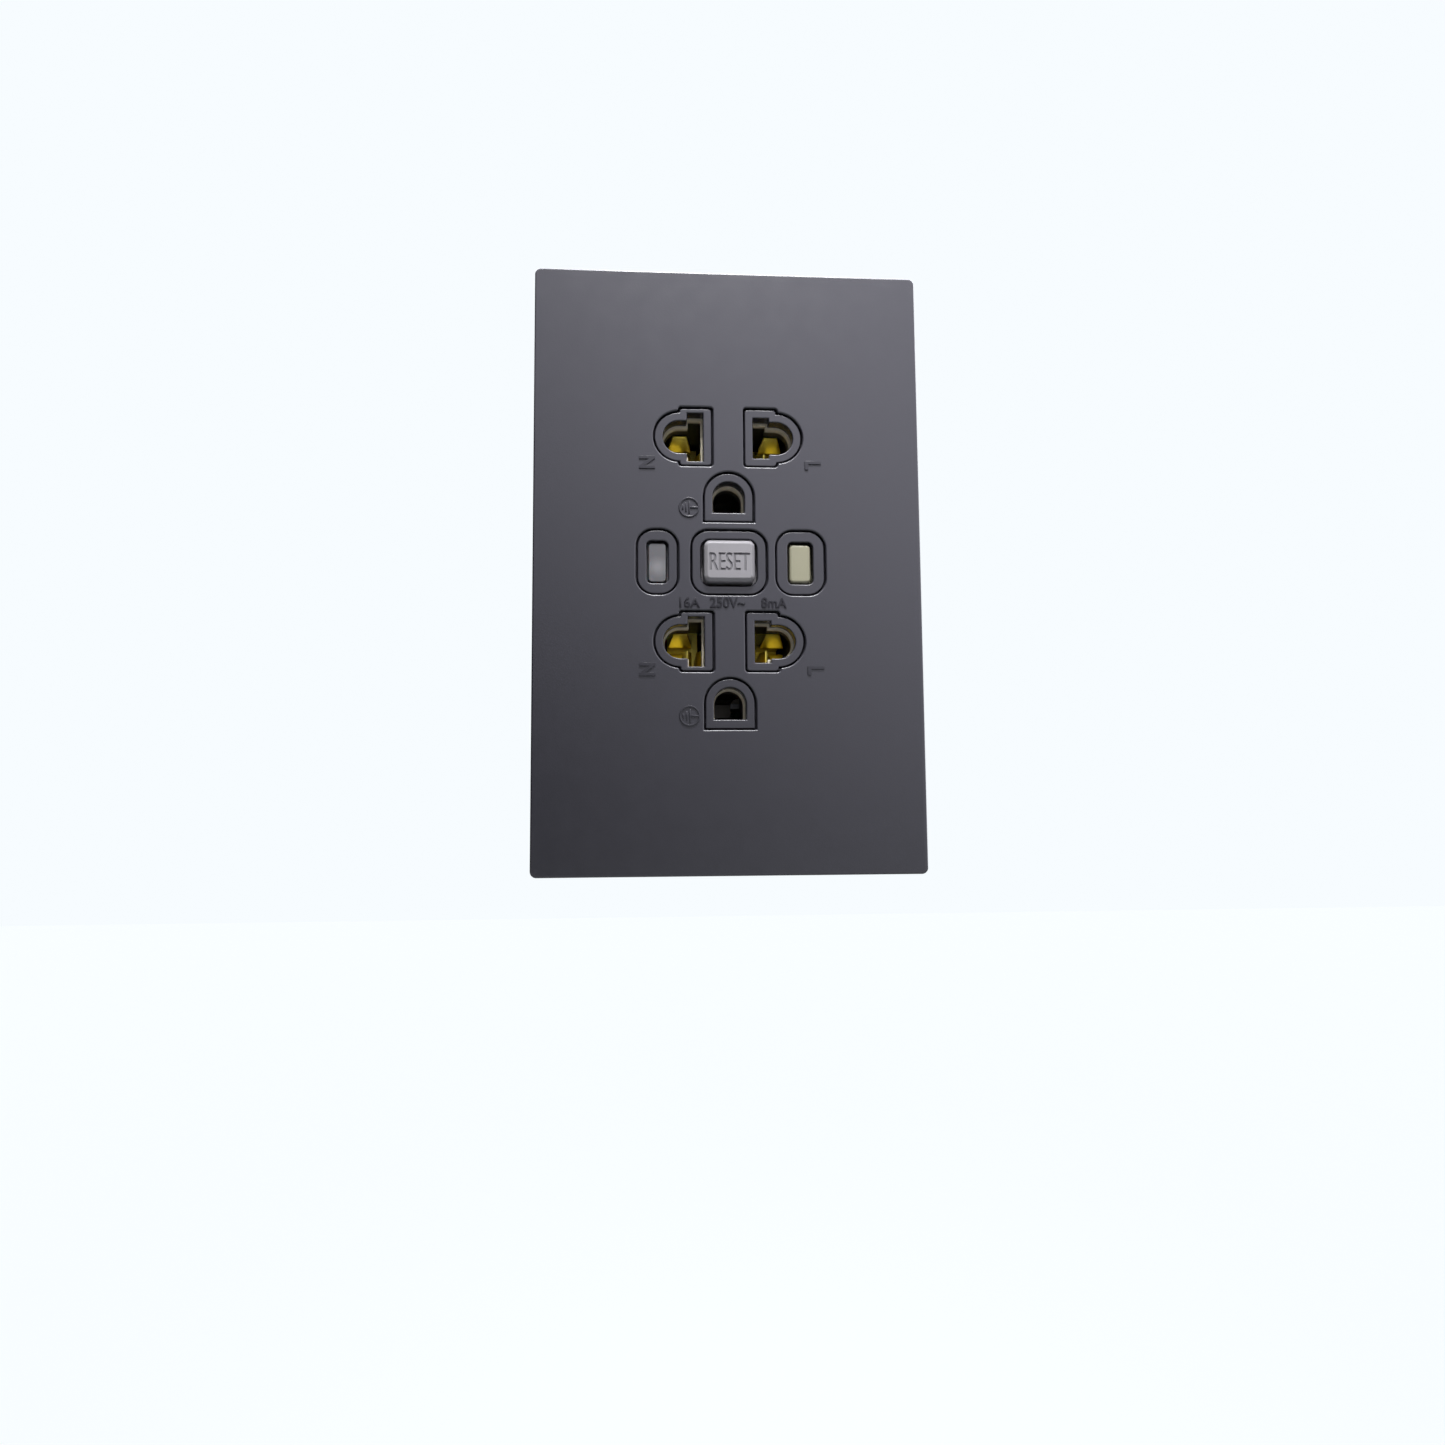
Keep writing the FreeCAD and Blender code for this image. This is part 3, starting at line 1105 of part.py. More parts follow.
def latch_block():
    """Block that slides on the reset pin, with a wing behind each contact arm."""
    body = box(-BLOCK_W / 2, BLOCK_W / 2, BLOCK_Y, BLOCK_BACK_Y, BLOCK_FOOT_Z, BLOCK_TOP_Z)
    half = WING_H / 2
    reach = BLOCK_W / 2 + WING_W
    wings = box(-reach, reach, WING_Y, WING_Y + WING_T, RIVET_Z - half, RIVET_Z + half)
    bore = rod_y(0, CONTROL_Z, RESET_PIN_R + FREE_GAP, WING_Y - CUT_PAST, BLOCK_BACK_Y + CUT_PAST)
    slot_w = LATCH_W / 2 + FREE_GAP
    slot = box(-slot_w, slot_w, LATCH_Y - RUN_GAP, LATCH_Y + LATCH_T + RUN_GAP,
               BLOCK_FOOT_Z - CUT_PAST, BLOCK_TOP_Z + CUT_PAST)
    return cut(fused([body, wings]), [bore, slot])


def latch_plate():
    """Steel slide whose hole catches the neck of the reset pin."""
    plate = box(-LATCH_W / 2, LATCH_W / 2, LATCH_Y, LATCH_Y + LATCH_T, LATCH_FOOT_Z, LATCH_TOP_Z)
    r = RESET_PIN_R + FREE_GAP
    top = CONTROL_Z + RESET_PIN_R - LATCH_BITE - r
    foot = CONTROL_Z - PLUNGER_TRAVEL - FREE_GAP
    y0 = LATCH_Y - CUT_PAST
    y1 = LATCH_Y + LATCH_T + CUT_PAST
    ends = [rod_y(0, z, r, y0, y1) for z in (foot, top)]
    return cut(plate, ends + [box(-r, r, y0, y1, foot, top)])


def capacitor():
    return pad(CAPACITOR_X, CAPACITOR_Z, CAPACITOR_W, CAPACITOR_L, CAPACITOR_CORNER_R,
               BOARD_Y - CAPACITOR_H, BOARD_Y)


def leg(x, z, y0):
    """Square lead from a component down to the board."""
    half = LEG_T / 2
    return box(x - half, x + half, y0, BOARD_Y, z - half, z + half)


def varistor():
    """Upright disc on two leads."""
    x = BOARD_X - VARISTOR_INSET
    y = BOARD_Y - VARISTOR_LIFT - VARISTOR_R
    disc = rod_x(y, VARISTOR_Z, VARISTOR_R, x - VARISTOR_T / 2, x + VARISTOR_T / 2)
    legs = [leg(x, VARISTOR_Z + s * VARISTOR_R / 2, y) for s in (-1, 1)]
    return fused([disc] + legs)


def thyristor():
    """Small can with a flat side on three leads."""
    y1 = BOARD_Y - THYRISTOR_LIFT
    y0 = y1 - THYRISTOR_H
    r = THYRISTOR_R
    can = rod_y(THYRISTOR_X, THYRISTOR_Z, r, y0, y1)
    flat = box(THYRISTOR_X - r, THYRISTOR_X + r, y0, y1, THYRISTOR_Z - r, THYRISTOR_Z - THYRISTOR_FLAT)
    legs = [leg(THYRISTOR_X + s * LEG_PITCH, THYRISTOR_Z, y1 - MERGE) for s in (-1, 0, 1)]
    return fused([can.cut(flat)] + legs)


def axial_part(x, z, r, length):
    """Lying body with a wire out of each end, bent down to the board."""
    y = BOARD_Y - r - AXIAL_LIFT
    half = LEG_T / 2
    body = rod_z(x, y, r, z - length / 2, z + length / 2)
    reach = length / 2 + LEG_REACH
    wire = box(x - half, x + half, y - half, y + half, z - reach, z + reach)
    legs = [leg(x, z + s * (reach - half), y) for s in (-1, 1)]
    return fused([body, wire] + legs)


def resistors():
    places = [YOKE_X + RESISTOR_SHIFT + RESISTOR_PITCH * i for i in range(2)]
    return Part.makeCompound([axial_part(x, RESISTOR_Z, RESISTOR_R, RESISTOR_L) for x in places])


def diodes():
    places = [DIODE_INSET - BOARD_X + DIODE_PITCH * i for i in range(3)]
    return Part.makeCompound([axial_part(x, DIODE_Z, DIODE_R, DIODE_L) for x in places])


def control_chip():
    x0 = RIVET_X + CHIP_SHIFT - CHIP_W / 2
    z0 = CHIP_Z - CHIP_L / 2
    return box(x0, x0 + CHIP_W, BOARD_Y - CHIP_H, BOARD_Y, z0, z0 + CHIP_L)


def build():
    save("cover_plate", cover_plate())
    save("carrier_frame", carrier_frame())
    save("frame_screws", frame_screws())
    save("front_housing", front_housing())
    save("mounting_strap", mounting_strap())
    save("earth_screw", earth_screw())
    save("contact_tray", contact_tray())
    save("rear_housing", rear_housing())
    save("housing_screws", housing_screws())
    save("earth_contact_upper", earth_contact(EARTH_LINES[0]))
    save("earth_contact_lower", earth_contact(EARTH_LINES[1]))
    for side, name in ((-1, "neutral"), (1, "line")):
        save(name + "_contact_strip", contact_strip(side))
        save(name + "_supply_terminal", supply_terminal(side))
        save(name + "_terminal_screws", terminal_screws(side))
        save(name + "_contact_arm", contact_arm(side))
        save(name + "_moving_contact", rivet(side, MOVING_RIVET_R, ARM_Y - RIVET_T))
    save("clamp_plates", clamp_plates())
    save("fixed_contacts", rivets(FIXED_RIVET_R, BUS_BACK_Y))
    save("arm_posts", arm_posts())
    save("reset_button", reset_button())
    save("reset_pin", reset_pin())
    save("reset_spring", reset_spring())
    save("test_button", test_button())
    save("test_spring", test_spring())
    save("test_contacts", test_contacts())
    save("indicator_lens", indicator_lens())
    save("indicator_led", indicator_led())
    save("circuit_board", circuit_board())
    save("sense_coil", wound_ring(RING_Y))
    save("neutral_sense_coil", wound_ring(RING_Y - TRANSFORMER_RING - RING_GAP))
    save("transformer_cup", transformer_cup())
    save("primary_conductors", primary_conductors())
    save("solenoid_bobbin", solenoid_bobbin())
    save("solenoid_coil", solenoid_coil())
    save("solenoid_yoke", solenoid_yoke())
    save("plunger", plunger())
    save("plunger_spring", plunger_spring())
    save("latch_block", latch_block())
    save("latch_plate", latch_plate())
    save("capacitor", capacitor())
    save("varistor", varistor())
    save("thyristor", thyristor())
    save("resistors", resistors())
    save("diodes", diodes())
    save("control_chip", control_chip())


os.makedirs("parts", exist_ok=True)
build()
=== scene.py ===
import json
import math
from collections import namedtuple

import bpy
from mathutils import Matrix, Vector


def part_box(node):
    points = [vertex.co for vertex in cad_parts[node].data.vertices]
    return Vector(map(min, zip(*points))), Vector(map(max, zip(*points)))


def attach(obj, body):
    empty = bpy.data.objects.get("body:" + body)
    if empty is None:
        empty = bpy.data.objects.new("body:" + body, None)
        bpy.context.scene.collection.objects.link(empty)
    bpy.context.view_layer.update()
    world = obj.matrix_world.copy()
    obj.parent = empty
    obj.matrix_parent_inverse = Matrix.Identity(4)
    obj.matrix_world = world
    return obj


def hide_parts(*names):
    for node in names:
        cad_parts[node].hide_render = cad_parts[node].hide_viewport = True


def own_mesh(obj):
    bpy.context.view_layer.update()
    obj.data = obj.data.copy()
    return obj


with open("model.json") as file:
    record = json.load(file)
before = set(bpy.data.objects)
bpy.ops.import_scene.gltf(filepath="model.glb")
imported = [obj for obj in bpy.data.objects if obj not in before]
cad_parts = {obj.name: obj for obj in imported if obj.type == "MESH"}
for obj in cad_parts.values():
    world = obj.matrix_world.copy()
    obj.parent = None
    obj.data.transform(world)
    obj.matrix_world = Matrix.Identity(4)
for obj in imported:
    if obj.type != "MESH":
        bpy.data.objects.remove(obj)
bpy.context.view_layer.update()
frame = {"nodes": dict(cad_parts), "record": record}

bl_info = {
    "name": "Protected wall socket",
    "version": (1, 0, 0),
    "blender": (4, 5, 0),
    "location": "View3D > Sidebar > Wall Socket",
    "description": "Dresses a duplex wall socket with leakage protection, piece by piece",
    "category": "Object",
}

MM = 0.001

# Points of a mesh that lie closer than this are one point.
SAME_POINT = 0.0000008
SAME_LETTER_POINT = 0.000002

# Rounding of edges that have no setting of their own.
BUTTON_EDGE = 0.14 * MM
KEY_EDGE = 0.2 * MM
TRAY_EDGE = 0.08 * MM
REAR_EDGE = 0.12 * MM
INNER_EDGE = 0.06 * MM

# Edges sharper than this many degrees are rounded, or shaded as edges.
EDGE_ANGLE = 28
SHADE_ANGLE = 38
MARK_ANGLE = 50
SCREW_ANGLE = 34
SPRING_ANGLE = 60

# The camera: its place, the directions to its right, up and backwards, and its sensor.
CAMERA_PLACE = (-0.016729, -0.211108, -0.049397)
CAMERA_RIGHT = (0.99724, -0.07389, -0.00768)
CAMERA_UP = (0.00065, -0.09465, 0.99551)
CAMERA_BACK = (-0.07429, -0.99276, -0.09434)
CAMERA_NEAR = 0.005
SENSOR_WIDTH = 36

# The surroundings as they are mirrored, and the floor's paper with its glow.
MIRRORED_COLOUR = (0.90, 0.895, 1.0)
FLOOR_SIZE = 8
FLOOR_COLOUR = (0.86, 0.88, 0.90)
FLOOR_GLOW = 1.09
FLOOR_GLOW_SHARE = 0.9

# Marks on the plate, in millimetres from its middle. A pole letter is wide and tall as given,
# and lies a little below its row's height. A word of the rating reaches from x to x.
MARK_ROWS = (("upper", 20.3), ("lower", -20.0))
POLES = (("neutral", "N", 2.5, 3.1, -15.75, 0.0), ("line", "L", 1.75, 3.2, 16.5, 0.15))
EARTH_SIGNS = (("upper", -7.7, 11.5), ("lower", -7.75, -28.85))
EARTH_BARS = (2.5, 1.7, 0.9)
RATING = (
    ("current", "16A", -9.6, -5.7),
    ("voltage", "250V~", -3.8, 3.0),
    ("leakage", "8mA", 6.1, 11.0),
)
RATING_FOOT = -8.05
MARK_SINK = 0.05 * MM
MARK_RIM = 0.22
POLE_RIM = 0.05 * MM
POLE_BOLD = 0.04
RATING_RIM = 0.02 * MM
RATING_BOLD = 0.02

# The word on the reset button is cut twice, a little to either side, and lies below the middle.
WORD_BOLD = 0.08 * MM
WORD_DROP = 0.2 * MM
WORD_SLACK = 0.02 * MM

ScrewSize = namedtuple("ScrewSize", "head_r head_h shank_r")
TERMINAL_SCREW = ScrewSize(3.6 * MM, 2.0 * MM, 1.75 * MM)
HOUSING_SCREW = ScrewSize(2.7 * MM, 2.0 * MM, 1.4 * MM)
FRAME_SCREW = ScrewSize(2.4 * MM, 1.4 * MM, 1.4 * MM)

# A thread's pitch, core and root as shares of its radius, and one flank's share of the pitch.
THREAD_PITCH = 0.42
THREAD_CORE = 0.86
THREAD_ROOT = 0.84
THREAD_FLANK = 0.45

# A wave texture of scale one repeats after this many metres.
WAVE_PERIOD = 0.314


# Settings


def colour(name, text, value):
    return bpy.props.FloatVectorProperty(
        name=name, description=text, subtype="COLOR", size=3, min=0.0, max=1.0, default=value
    )


def length(name, text, millimetres):
    return bpy.props.FloatProperty(
        name=name, description=text, default=millimetres * MM, unit="LENGTH", min=0.0
    )


def number(name, text, value):
    return bpy.props.FloatProperty(name=name, description=text, default=value, min=0.0)


class SocketPlateSettings(bpy.types.PropertyGroup):
    plate: colour("Plate", "Satin charcoal of the cover plate", (0.030, 0.0295, 0.038))
    bosses: colour(
        "Bosses", "Charcoal of the front housing seen through the plate", (0.029, 0.0285, 0.0365)
    )
    grain: length("Grain", "Size of the fine spark texture on the moulded faces", 0.22)
    edge: length("Edge", "Rounding of the plate's cut-outs", 0.30)
    boss_edge: length("Boss edge", "Rounding along the rims of the bosses", 0.22)


class SocketMarkSettings(bpy.types.PropertyGroup):
    height: length("Height", "How far the marks stand out of the plate", 0.32)
    stroke: length("Stroke", "Width of a line in the marks", 0.38)
    cap: length("Capitals", "Height of the rating's capitals", 2.05)
    reset_w: length("Reset width", "Width of the word on the reset button", 7.8)
    reset_h: length("Reset height", "Height of the word on the reset button", 3.5)
    reset_cut: length("Reset depth", "Depth of the word cut into the reset button", 0.25)


class SocketControlSettings(bpy.types.PropertyGroup):
    reset: colour("Reset", "Mid grey of the reset button", (0.31, 0.30, 0.32))
    test: colour("Test", "Warm ivory of the test key", (0.325, 0.312, 0.222))
    lens: colour("Lens", "Smoked lens of the indicator", (0.108, 0.106, 0.112))
    spot: colour("Spot", "Lighter patch where the light pipe shows through", (0.22, 0.22, 0.23))
    spot_r: length("Spot radius", "Radius of the light pipe seen in the lens", 1.3)


class SocketMetalSettings(bpy.types.PropertyGroup):
    brass: colour("Brass", "Rolled brass of the contacts", (1.0, 0.80, 0.16))
    turned_brass: colour(
        "Turned brass", "Duller brass of the terminal screws and plates", (0.72, 0.55, 0.22)
    )
    zinc: colour("Zinc", "Zinc-plated steel", (0.44, 0.45, 0.47))
    nickel: colour("Nickel", "Nickel-plated screws", (0.72, 0.71, 0.68))
    earth_green: colour("Earth green", "Green passivated earth screw", (0.04, 0.27, 0.10))
    copper: colour("Copper", "Enamelled copper wire", (0.62, 0.24, 0.09))
    silver: colour("Silver", "Contact rivets", (0.80, 0.79, 0.76))


class SocketBackSettings(bpy.types.PropertyGroup):
    housing: colour("Rear housing", "Moulded black of the rear housing", (0.022, 0.022, 0.024))
    tray: colour("Tray", "Pale beige of the collars on the contact tray", (0.85, 0.77, 0.60))
    # The tray's dark inside colour is painted shade, for the dark deep in the holes where little
    # light gets in.
    tray_painted_shade: colour("Tray inside", "Dark inside of the contact tray", (0.05, 0.045, 0.035))
    carrier: colour("Carrier", "Off-white of the carrier frame", (0.62, 0.62, 0.59))
    board: colour("Board", "Solder resist on the circuit board", (0.02, 0.16, 0.07))
    nylon: colour("Nylon", "Natural nylon of the bobbin and the latch block", (0.66, 0.63, 0.55))
    mould_edge: length("Mould edge", "Rounding of moulded edges", 0.2)
    metal_edge: length("Metal edge", "Rounding of sheared metal edges", 0.08)


class SocketStageSettings(bpy.types.PropertyGroup):
    backdrop: colour("Backdrop", "Pale surroundings", (0.930, 0.972, 1.0))
    floor_z: length("Floor drop", "How far the floor lies below the plate's middle", 400.0)
    key: number("Key light", "Power of the soft light above", 0.33)
    fill: number("Fill light", "Strength of the surroundings as light", 0.30)
    gloss: number("Gloss", "Strength of the bright side of the surroundings in reflections", 2.8)
    zenith: number("Zenith", "Extra strength of the surroundings overhead in reflections", 5.0)
    lens: number("Lens", "Focal length of the camera in millimetres", 26.907)


def settings(name):
    return getattr(bpy.context.scene, "wall_socket_" + name)


# Working on a piece by hand


def only(piece):
    """Deselect everything but one piece."""
    bpy.ops.object.select_all(action="DESELECT")
    piece.select_set(True)
    bpy.context.view_layer.objects.active = piece


def edit_all(piece):
    """Open a piece for editing with all of it selected."""
    only(piece)
    bpy.ops.object.mode_set(mode="EDIT")
    bpy.ops.mesh.select_all(action="SELECT")


def done():
    """Leave editing."""
    bpy.ops.object.mode_set(mode="OBJECT")


def settle(piece):
    """Put a piece's place into its mesh, so that its object stands unturned at the origin."""
    only(piece)
    bpy.ops.object.transform_apply(location=True, rotation=True, scale=True)
    bpy.context.scene.cursor.location = (0, 0, 0)
    bpy.ops.object.origin_set(type="ORIGIN_CURSOR")


def added(add, name, **shape):
    """Run an operator that adds an object, and give the object a name of its own."""
    bpy.ops.object.select_all(action="DESELECT")
    add(**shape)
    return named(bpy.context.object, name)


def named(piece, name):
    piece.name = name
    piece.data.name = name
    return piece


def copy_of(piece, name):
    twin = bpy.data.objects.new(name, piece.data.copy())
    bpy.context.scene.collection.objects.link(twin)
    return twin


def joined(pieces, name):
    bpy.ops.object.select_all(action="DESELECT")
    for piece in pieces:
        piece.select_set(True)
    bpy.context.view_layer.objects.active = pieces[0]
    bpy.ops.object.join()
    return named(pieces[0], name)


def even(piece, angle=SHADE_ANGLE):
    """Smooth shading across rounded edges, with flat faces kept flat."""
    only(piece)
    bpy.ops.mesh.customdata_custom_splitnormals_clear()
    bpy.ops.object.shade_smooth_by_angle(angle=math.radians(angle))
    weighted = piece.modifiers.new("Even faces", "WEIGHTED_NORMAL")
    weighted.keep_sharp = True
    bpy.ops.object.modifier_apply(modifier=weighted.name)


def rounded(piece, width, segments=3, angle=EDGE_ANGLE):
    """Round the sharp edges and shade the faces between them flat."""
    only(piece)
    bevel = piece.modifiers.new("Rounding", "BEVEL")
    bevel.width = width
    bevel.segments = segments
    bevel.limit_method = "ANGLE"
    bevel.angle_limit = math.radians(angle)
    bevel.use_clamp_overlap = False
    bevel.loop_slide = False
    bpy.ops.object.modifier_apply(modifier=bevel.name)
    even(piece)


def carve(piece, cutter):
    """Cut one shape out of another and throw the cutter away."""
    only(piece)
    boolean = piece.modifiers.new("Carve", "BOOLEAN")
    boolean.operation = "DIFFERENCE"
    boolean.solver = "EXACT"
    boolean.object = cutter
    bpy.ops.object.modifier_apply(modifier=boolean.name)
    bpy.data.objects.remove(cutter)


def dress(piece, material):
    piece.data.materials.clear()
    piece.data.materials.append(material)


def body_of(node):
    bodies = frame["record"]["behaviour"]["bodies"]
    return next(name for name, nodes in bodies.items() if node in nodes)


def stand_for(piece, node):
    """Let a piece take the place of a CAD piece, on its body."""
    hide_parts(node)
    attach(piece, body_of(node))


def middle(node):
    low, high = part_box(node)
    return (Vector(low) + Vector(high)) / 2


def screw_lines():
    """Planes through the middle and through the four housing screws."""
    low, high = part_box("housing_screws")
    r = HOUSING_SCREW.head_r
    across = [((x, 0, 0), (1, 0, 0)) for x in (low[0] + r, 0, high[0] - r)]
    return across + [((0, 0, z), (0, 0, 1)) for z in (low[2] + r, 0, high[2] - r)]


def softened(node, width, material, segments=3, cuts=()):
    """A copy of a CAD piece with its edges rounded, which stands for the piece.

    Large faces with many holes are first divided along the planes in cuts.
    """
    piece = copy_of(frame["nodes"][node], node + "_finished")
    edit_all(piece)
    bpy.ops.mesh.remove_doubles(threshold=SAME_POINT)
    bpy.ops.mesh.dissolve_limited(angle_limit=math.radians(0.6))
    for point, normal in cuts:
        bpy.ops.mesh.select_all(action="SELECT")
        bpy.ops.mesh.bisect(plane_co=point, plane_no=normal)
    done()
    rounded(piece, width, segments)
    dress(piece, material)
    stand_for(piece, node)
    return piece


# Finishes


def combined(tree, operation, first, second):
    """One value worked out from two."""
    node = tree.nodes.new("ShaderNodeMath")
    node.operation = operation
    tree.links.new(first, node.inputs[0])
    tree.links.new(second, node.inputs[1])
    return node.outputs["Value"]


def mixed(tree, share, first, second):
    """Two shaders in one, with a share of the second."""
    node = tree.nodes.new("ShaderNodeMixShader")
    tree.links.new(share, node.inputs["Fac"])
    tree.links.new(first, node.inputs[1])
    tree.links.new(second, node.inputs[2])
    return node.outputs["Shader"]


class Finish:
    """A material under construction, laid out by the surface's own coordinates."""

    def __init__(self, name):
        self.material = bpy.data.materials.new(name)
        self.material.use_nodes = True
        self.tree = self.material.node_tree
        self.shader = self.tree.nodes["Principled BSDF"]
        self.place = self.tree.nodes.new("ShaderNodeTexCoord").outputs["Object"]

    def link(self, a, b):
        self.tree.links.new(a, b)

    def noise(self, size, detail, stretch=(1, 1, 1)):
        """Noise of a feature size in metres."""
        mapping = self.tree.nodes.new("ShaderNodeMapping")
        mapping.inputs["Scale"].default_value = stretch
        self.link(self.place, mapping.inputs["Vector"])
        node = self.tree.nodes.new("ShaderNodeTexNoise")
        node.inputs["Scale"].default_value = 1 / size
        node.inputs["Detail"].default_value = detail
        self.link(mapping.outputs["Vector"], node.inputs["Vector"])
        return node.outputs["Fac"]

    def span(self, value, low, high, start=0.3, end=0.7):
        """Spread a value from low to high. Without start and end it suits noise."""
        node = self.tree.nodes.new("ShaderNodeMapRange")
        node.inputs["From Min"].default_value = start
        node.inputs["From Max"].default_value = end
        node.inputs["To Min"].default_value = low
        node.inputs["To Max"].default_value = high
        self.link(value, node.inputs["Value"])
        return node.outputs["Result"]

    def blend(self, value, first, second):
        """From one colour to another as a value grows."""
        node = self.tree.nodes.new("ShaderNodeMix")
        node.data_type = "RGBA"
        node.inputs["A"].default_value = (*first, 1)
        node.inputs["B"].default_value = (*second, 1)
        self.link(value, node.inputs["Factor"])
        return node.outputs["Result"]

    def relief(self, height, distance, strength):
        """Fine relief, with its height in metres."""
        node = self.tree.nodes.new("ShaderNodeBump")
        node.inputs["Strength"].default_value = strength
        node.inputs["Distance"].default_value = distance
        self.link(height, node.inputs["Height"])
        self.link(node.outputs["Normal"], self.shader.inputs["Normal"])

    def feed(self, **values):
        """Link values to the shader's inputs of these names."""
        for name, value in values.items():
            self.link(value, self.shader.inputs[name.replace("_", " ")])

    def set(self, **values):
        """Give constants to the shader's inputs of these names."""
        for name, value in values.items():
            self.shader.inputs[name.replace("_", " ")].default_value = value


def shade(base, amount):
    return tuple(min(1.0, c * amount) for c in base)


def moulded(name, base, roughness, grain, relief, specular, variation):
    """Moulded plastic: fine spark texture, faint clouding, slight change of gloss."""
    finish = Finish(name)
    finish.feed(
        Base_Color=finish.blend(
            finish.noise(0.012, 3.0), shade(base, 1 - variation), shade(base, 1 + variation)
        ),
        Roughness=finish.span(finish.noise(0.004, 5.0), roughness * 0.92, roughness * 1.10),
    )
    finish.relief(finish.noise(grain, 6.0), relief, 0.6)
    finish.set(Specular_IOR_Level=specular)
    return finish.material


def rolled(name, base, roughness, along=(1, 1, 1), relief=0.000004):
    """Rolled or plated metal with fine lines along one direction and a little tarnish."""
    finish = Finish(name)
    lines = finish.noise(0.0006, 6.0, along)
    finish.feed(
        Base_Color=finish.blend(finish.noise(0.003, 5.0), shade(base, 0.82), shade(base, 1.06)),
        Roughness=finish.span(lines, roughness * 0.8, roughness * 1.25),
    )
    finish.relief(lines, relief, 0.5)
    finish.set(Metallic=1.0)
    return finish.material


def wound(name, base, direction, pitch):
    """Enamelled wire laid turn beside turn, darker between the turns as painted shade in the
    grooves.
    """
    finish = Finish(name)
    wave = finish.tree.nodes.new("ShaderNodeTexWave")
    wave.bands_direction = direction
    wave.wave_profile = "SIN"
    wave.inputs["Scale"].default_value = WAVE_PERIOD / pitch
    wave.inputs["Distortion"].default_value = 0.15
    finish.link(finish.place, wave.inputs["Vector"])
    turns = wave.outputs["Fac"]
    # Painted shade: the colour falls to about a third in the grooves between the turns.
    finish.feed(
        Base_Color=finish.blend(turns, shade(base, 0.35), base),
        Roughness=finish.span(turns, 0.45, 0.25, 0.0, 1.0),
    )
    finish.relief(turns, pitch * 0.4, 0.9)
    finish.set(Metallic=0.6, Coat_Weight=0.4)
    return finish.material


def speckled(name, base, roughness, coat):
    """Dipped or glazed part with a soft shine."""
    finish = Finish(name)
    spots = finish.noise(0.0008, 4.0)
    finish.feed(
        Base_Color=finish.blend(spots, shade(base, 0.8), shade(base, 1.15)),
        Roughness=finish.span(spots, roughness * 0.85, roughness * 1.2),
    )
    finish.relief(spots, 0.00001, 0.4)
    finish.set(Coat_Weight=coat)
    return finish.material


def lens_finish():
    """Smoked lens: glossy and slightly cloudy, with the light pipe as a paler patch."""
    s = settings("controls")
    finish = Finish("smoked_lens")
    centre = middle("indicator_lens")
    away = finish.tree.nodes.new("ShaderNodeVectorMath")
    away.operation = "DISTANCE"
    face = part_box("indicator_lens")[0][1]
    away.inputs[1].default_value = (centre.x, face, centre.z - 0.8 * MM)
    finish.link(finish.place, away.inputs[0])
    patch = finish.span(away.outputs["Value"], 1.0, 0.0, s.spot_r * 0.3, s.spot_r * 1.7)
    finish.feed(
        Base_Color=finish.blend(patch, s.lens, s.spot),
        Roughness=finish.span(finish.noise(0.003, 3.0), 0.16, 0.24),
    )
    finish.relief(finish.noise(0.0012, 3.0), 0.000006, 0.4)
    finish.set(Coat_Weight=0.5, Subsurface_Weight=0.25, Subsurface_Scale=0.001, IOR=1.49)
    return finish.material


def tray_finish():
    """Contact tray: pale collars at the mouths of the holes, with painted shade darkening it
    further in.
    """
    s = settings("back")
    finish = Finish("tray_plastic")
    parted = finish.tree.nodes.new("ShaderNodeSeparateXYZ")
    finish.link(finish.place, parted.inputs[0])
    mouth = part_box("contact_tray")[0][1]
    # Painted shade: from a millimetre past the mouth the tray turns dark, for the shade deep in
    # the holes.
    inside = finish.span(parted.outputs["Y"], 0.0, 1.0, mouth + 1.0 * MM, mouth + 1.8 * MM)
    finish.feed(
        Base_Color=finish.blend(inside, s.tray, s.tray_painted_shade),
        Roughness=finish.span(finish.noise(0.004, 5.0), 0.46, 0.55),
    )
    finish.relief(finish.noise(0.0003, 6.0), 0.000008, 0.6)
    finish.set(Specular_IOR_Level=0.35)
    return finish.material


def board_finish():
    """Green board, paler where tracks show through the resist."""
    base = settings("back").board
    finish = Finish("board")
    voronoi = finish.tree.nodes.new("ShaderNodeTexVoronoi")
    voronoi.distance = "MANHATTAN"
    voronoi.feature = "F1"
    voronoi.inputs["Scale"].default_value = 420
    finish.link(finish.place, voronoi.inputs["Vector"])
    tracks = finish.span(voronoi.outputs["Distance"], 0.0, 1.0, 0.34, 0.40)
    finish.feed(
        Base_Color=finish.blend(tracks, shade(base, 1.8), base),
        Roughness=finish.span(finish.noise(0.002, 4.0), 0.3, 0.42),
    )
    finish.relief(tracks, 0.00003, 0.5)
    finish.set(Coat_Weight=0.3)
    return finish.material


def plate_like(name, base, roughness, relief, specular):
    """The plate's own plastic, in a given shade and gloss."""
    grain = settings("plate").grain
    return moulded(name, base, roughness, grain, relief, specular, variation=0.04)


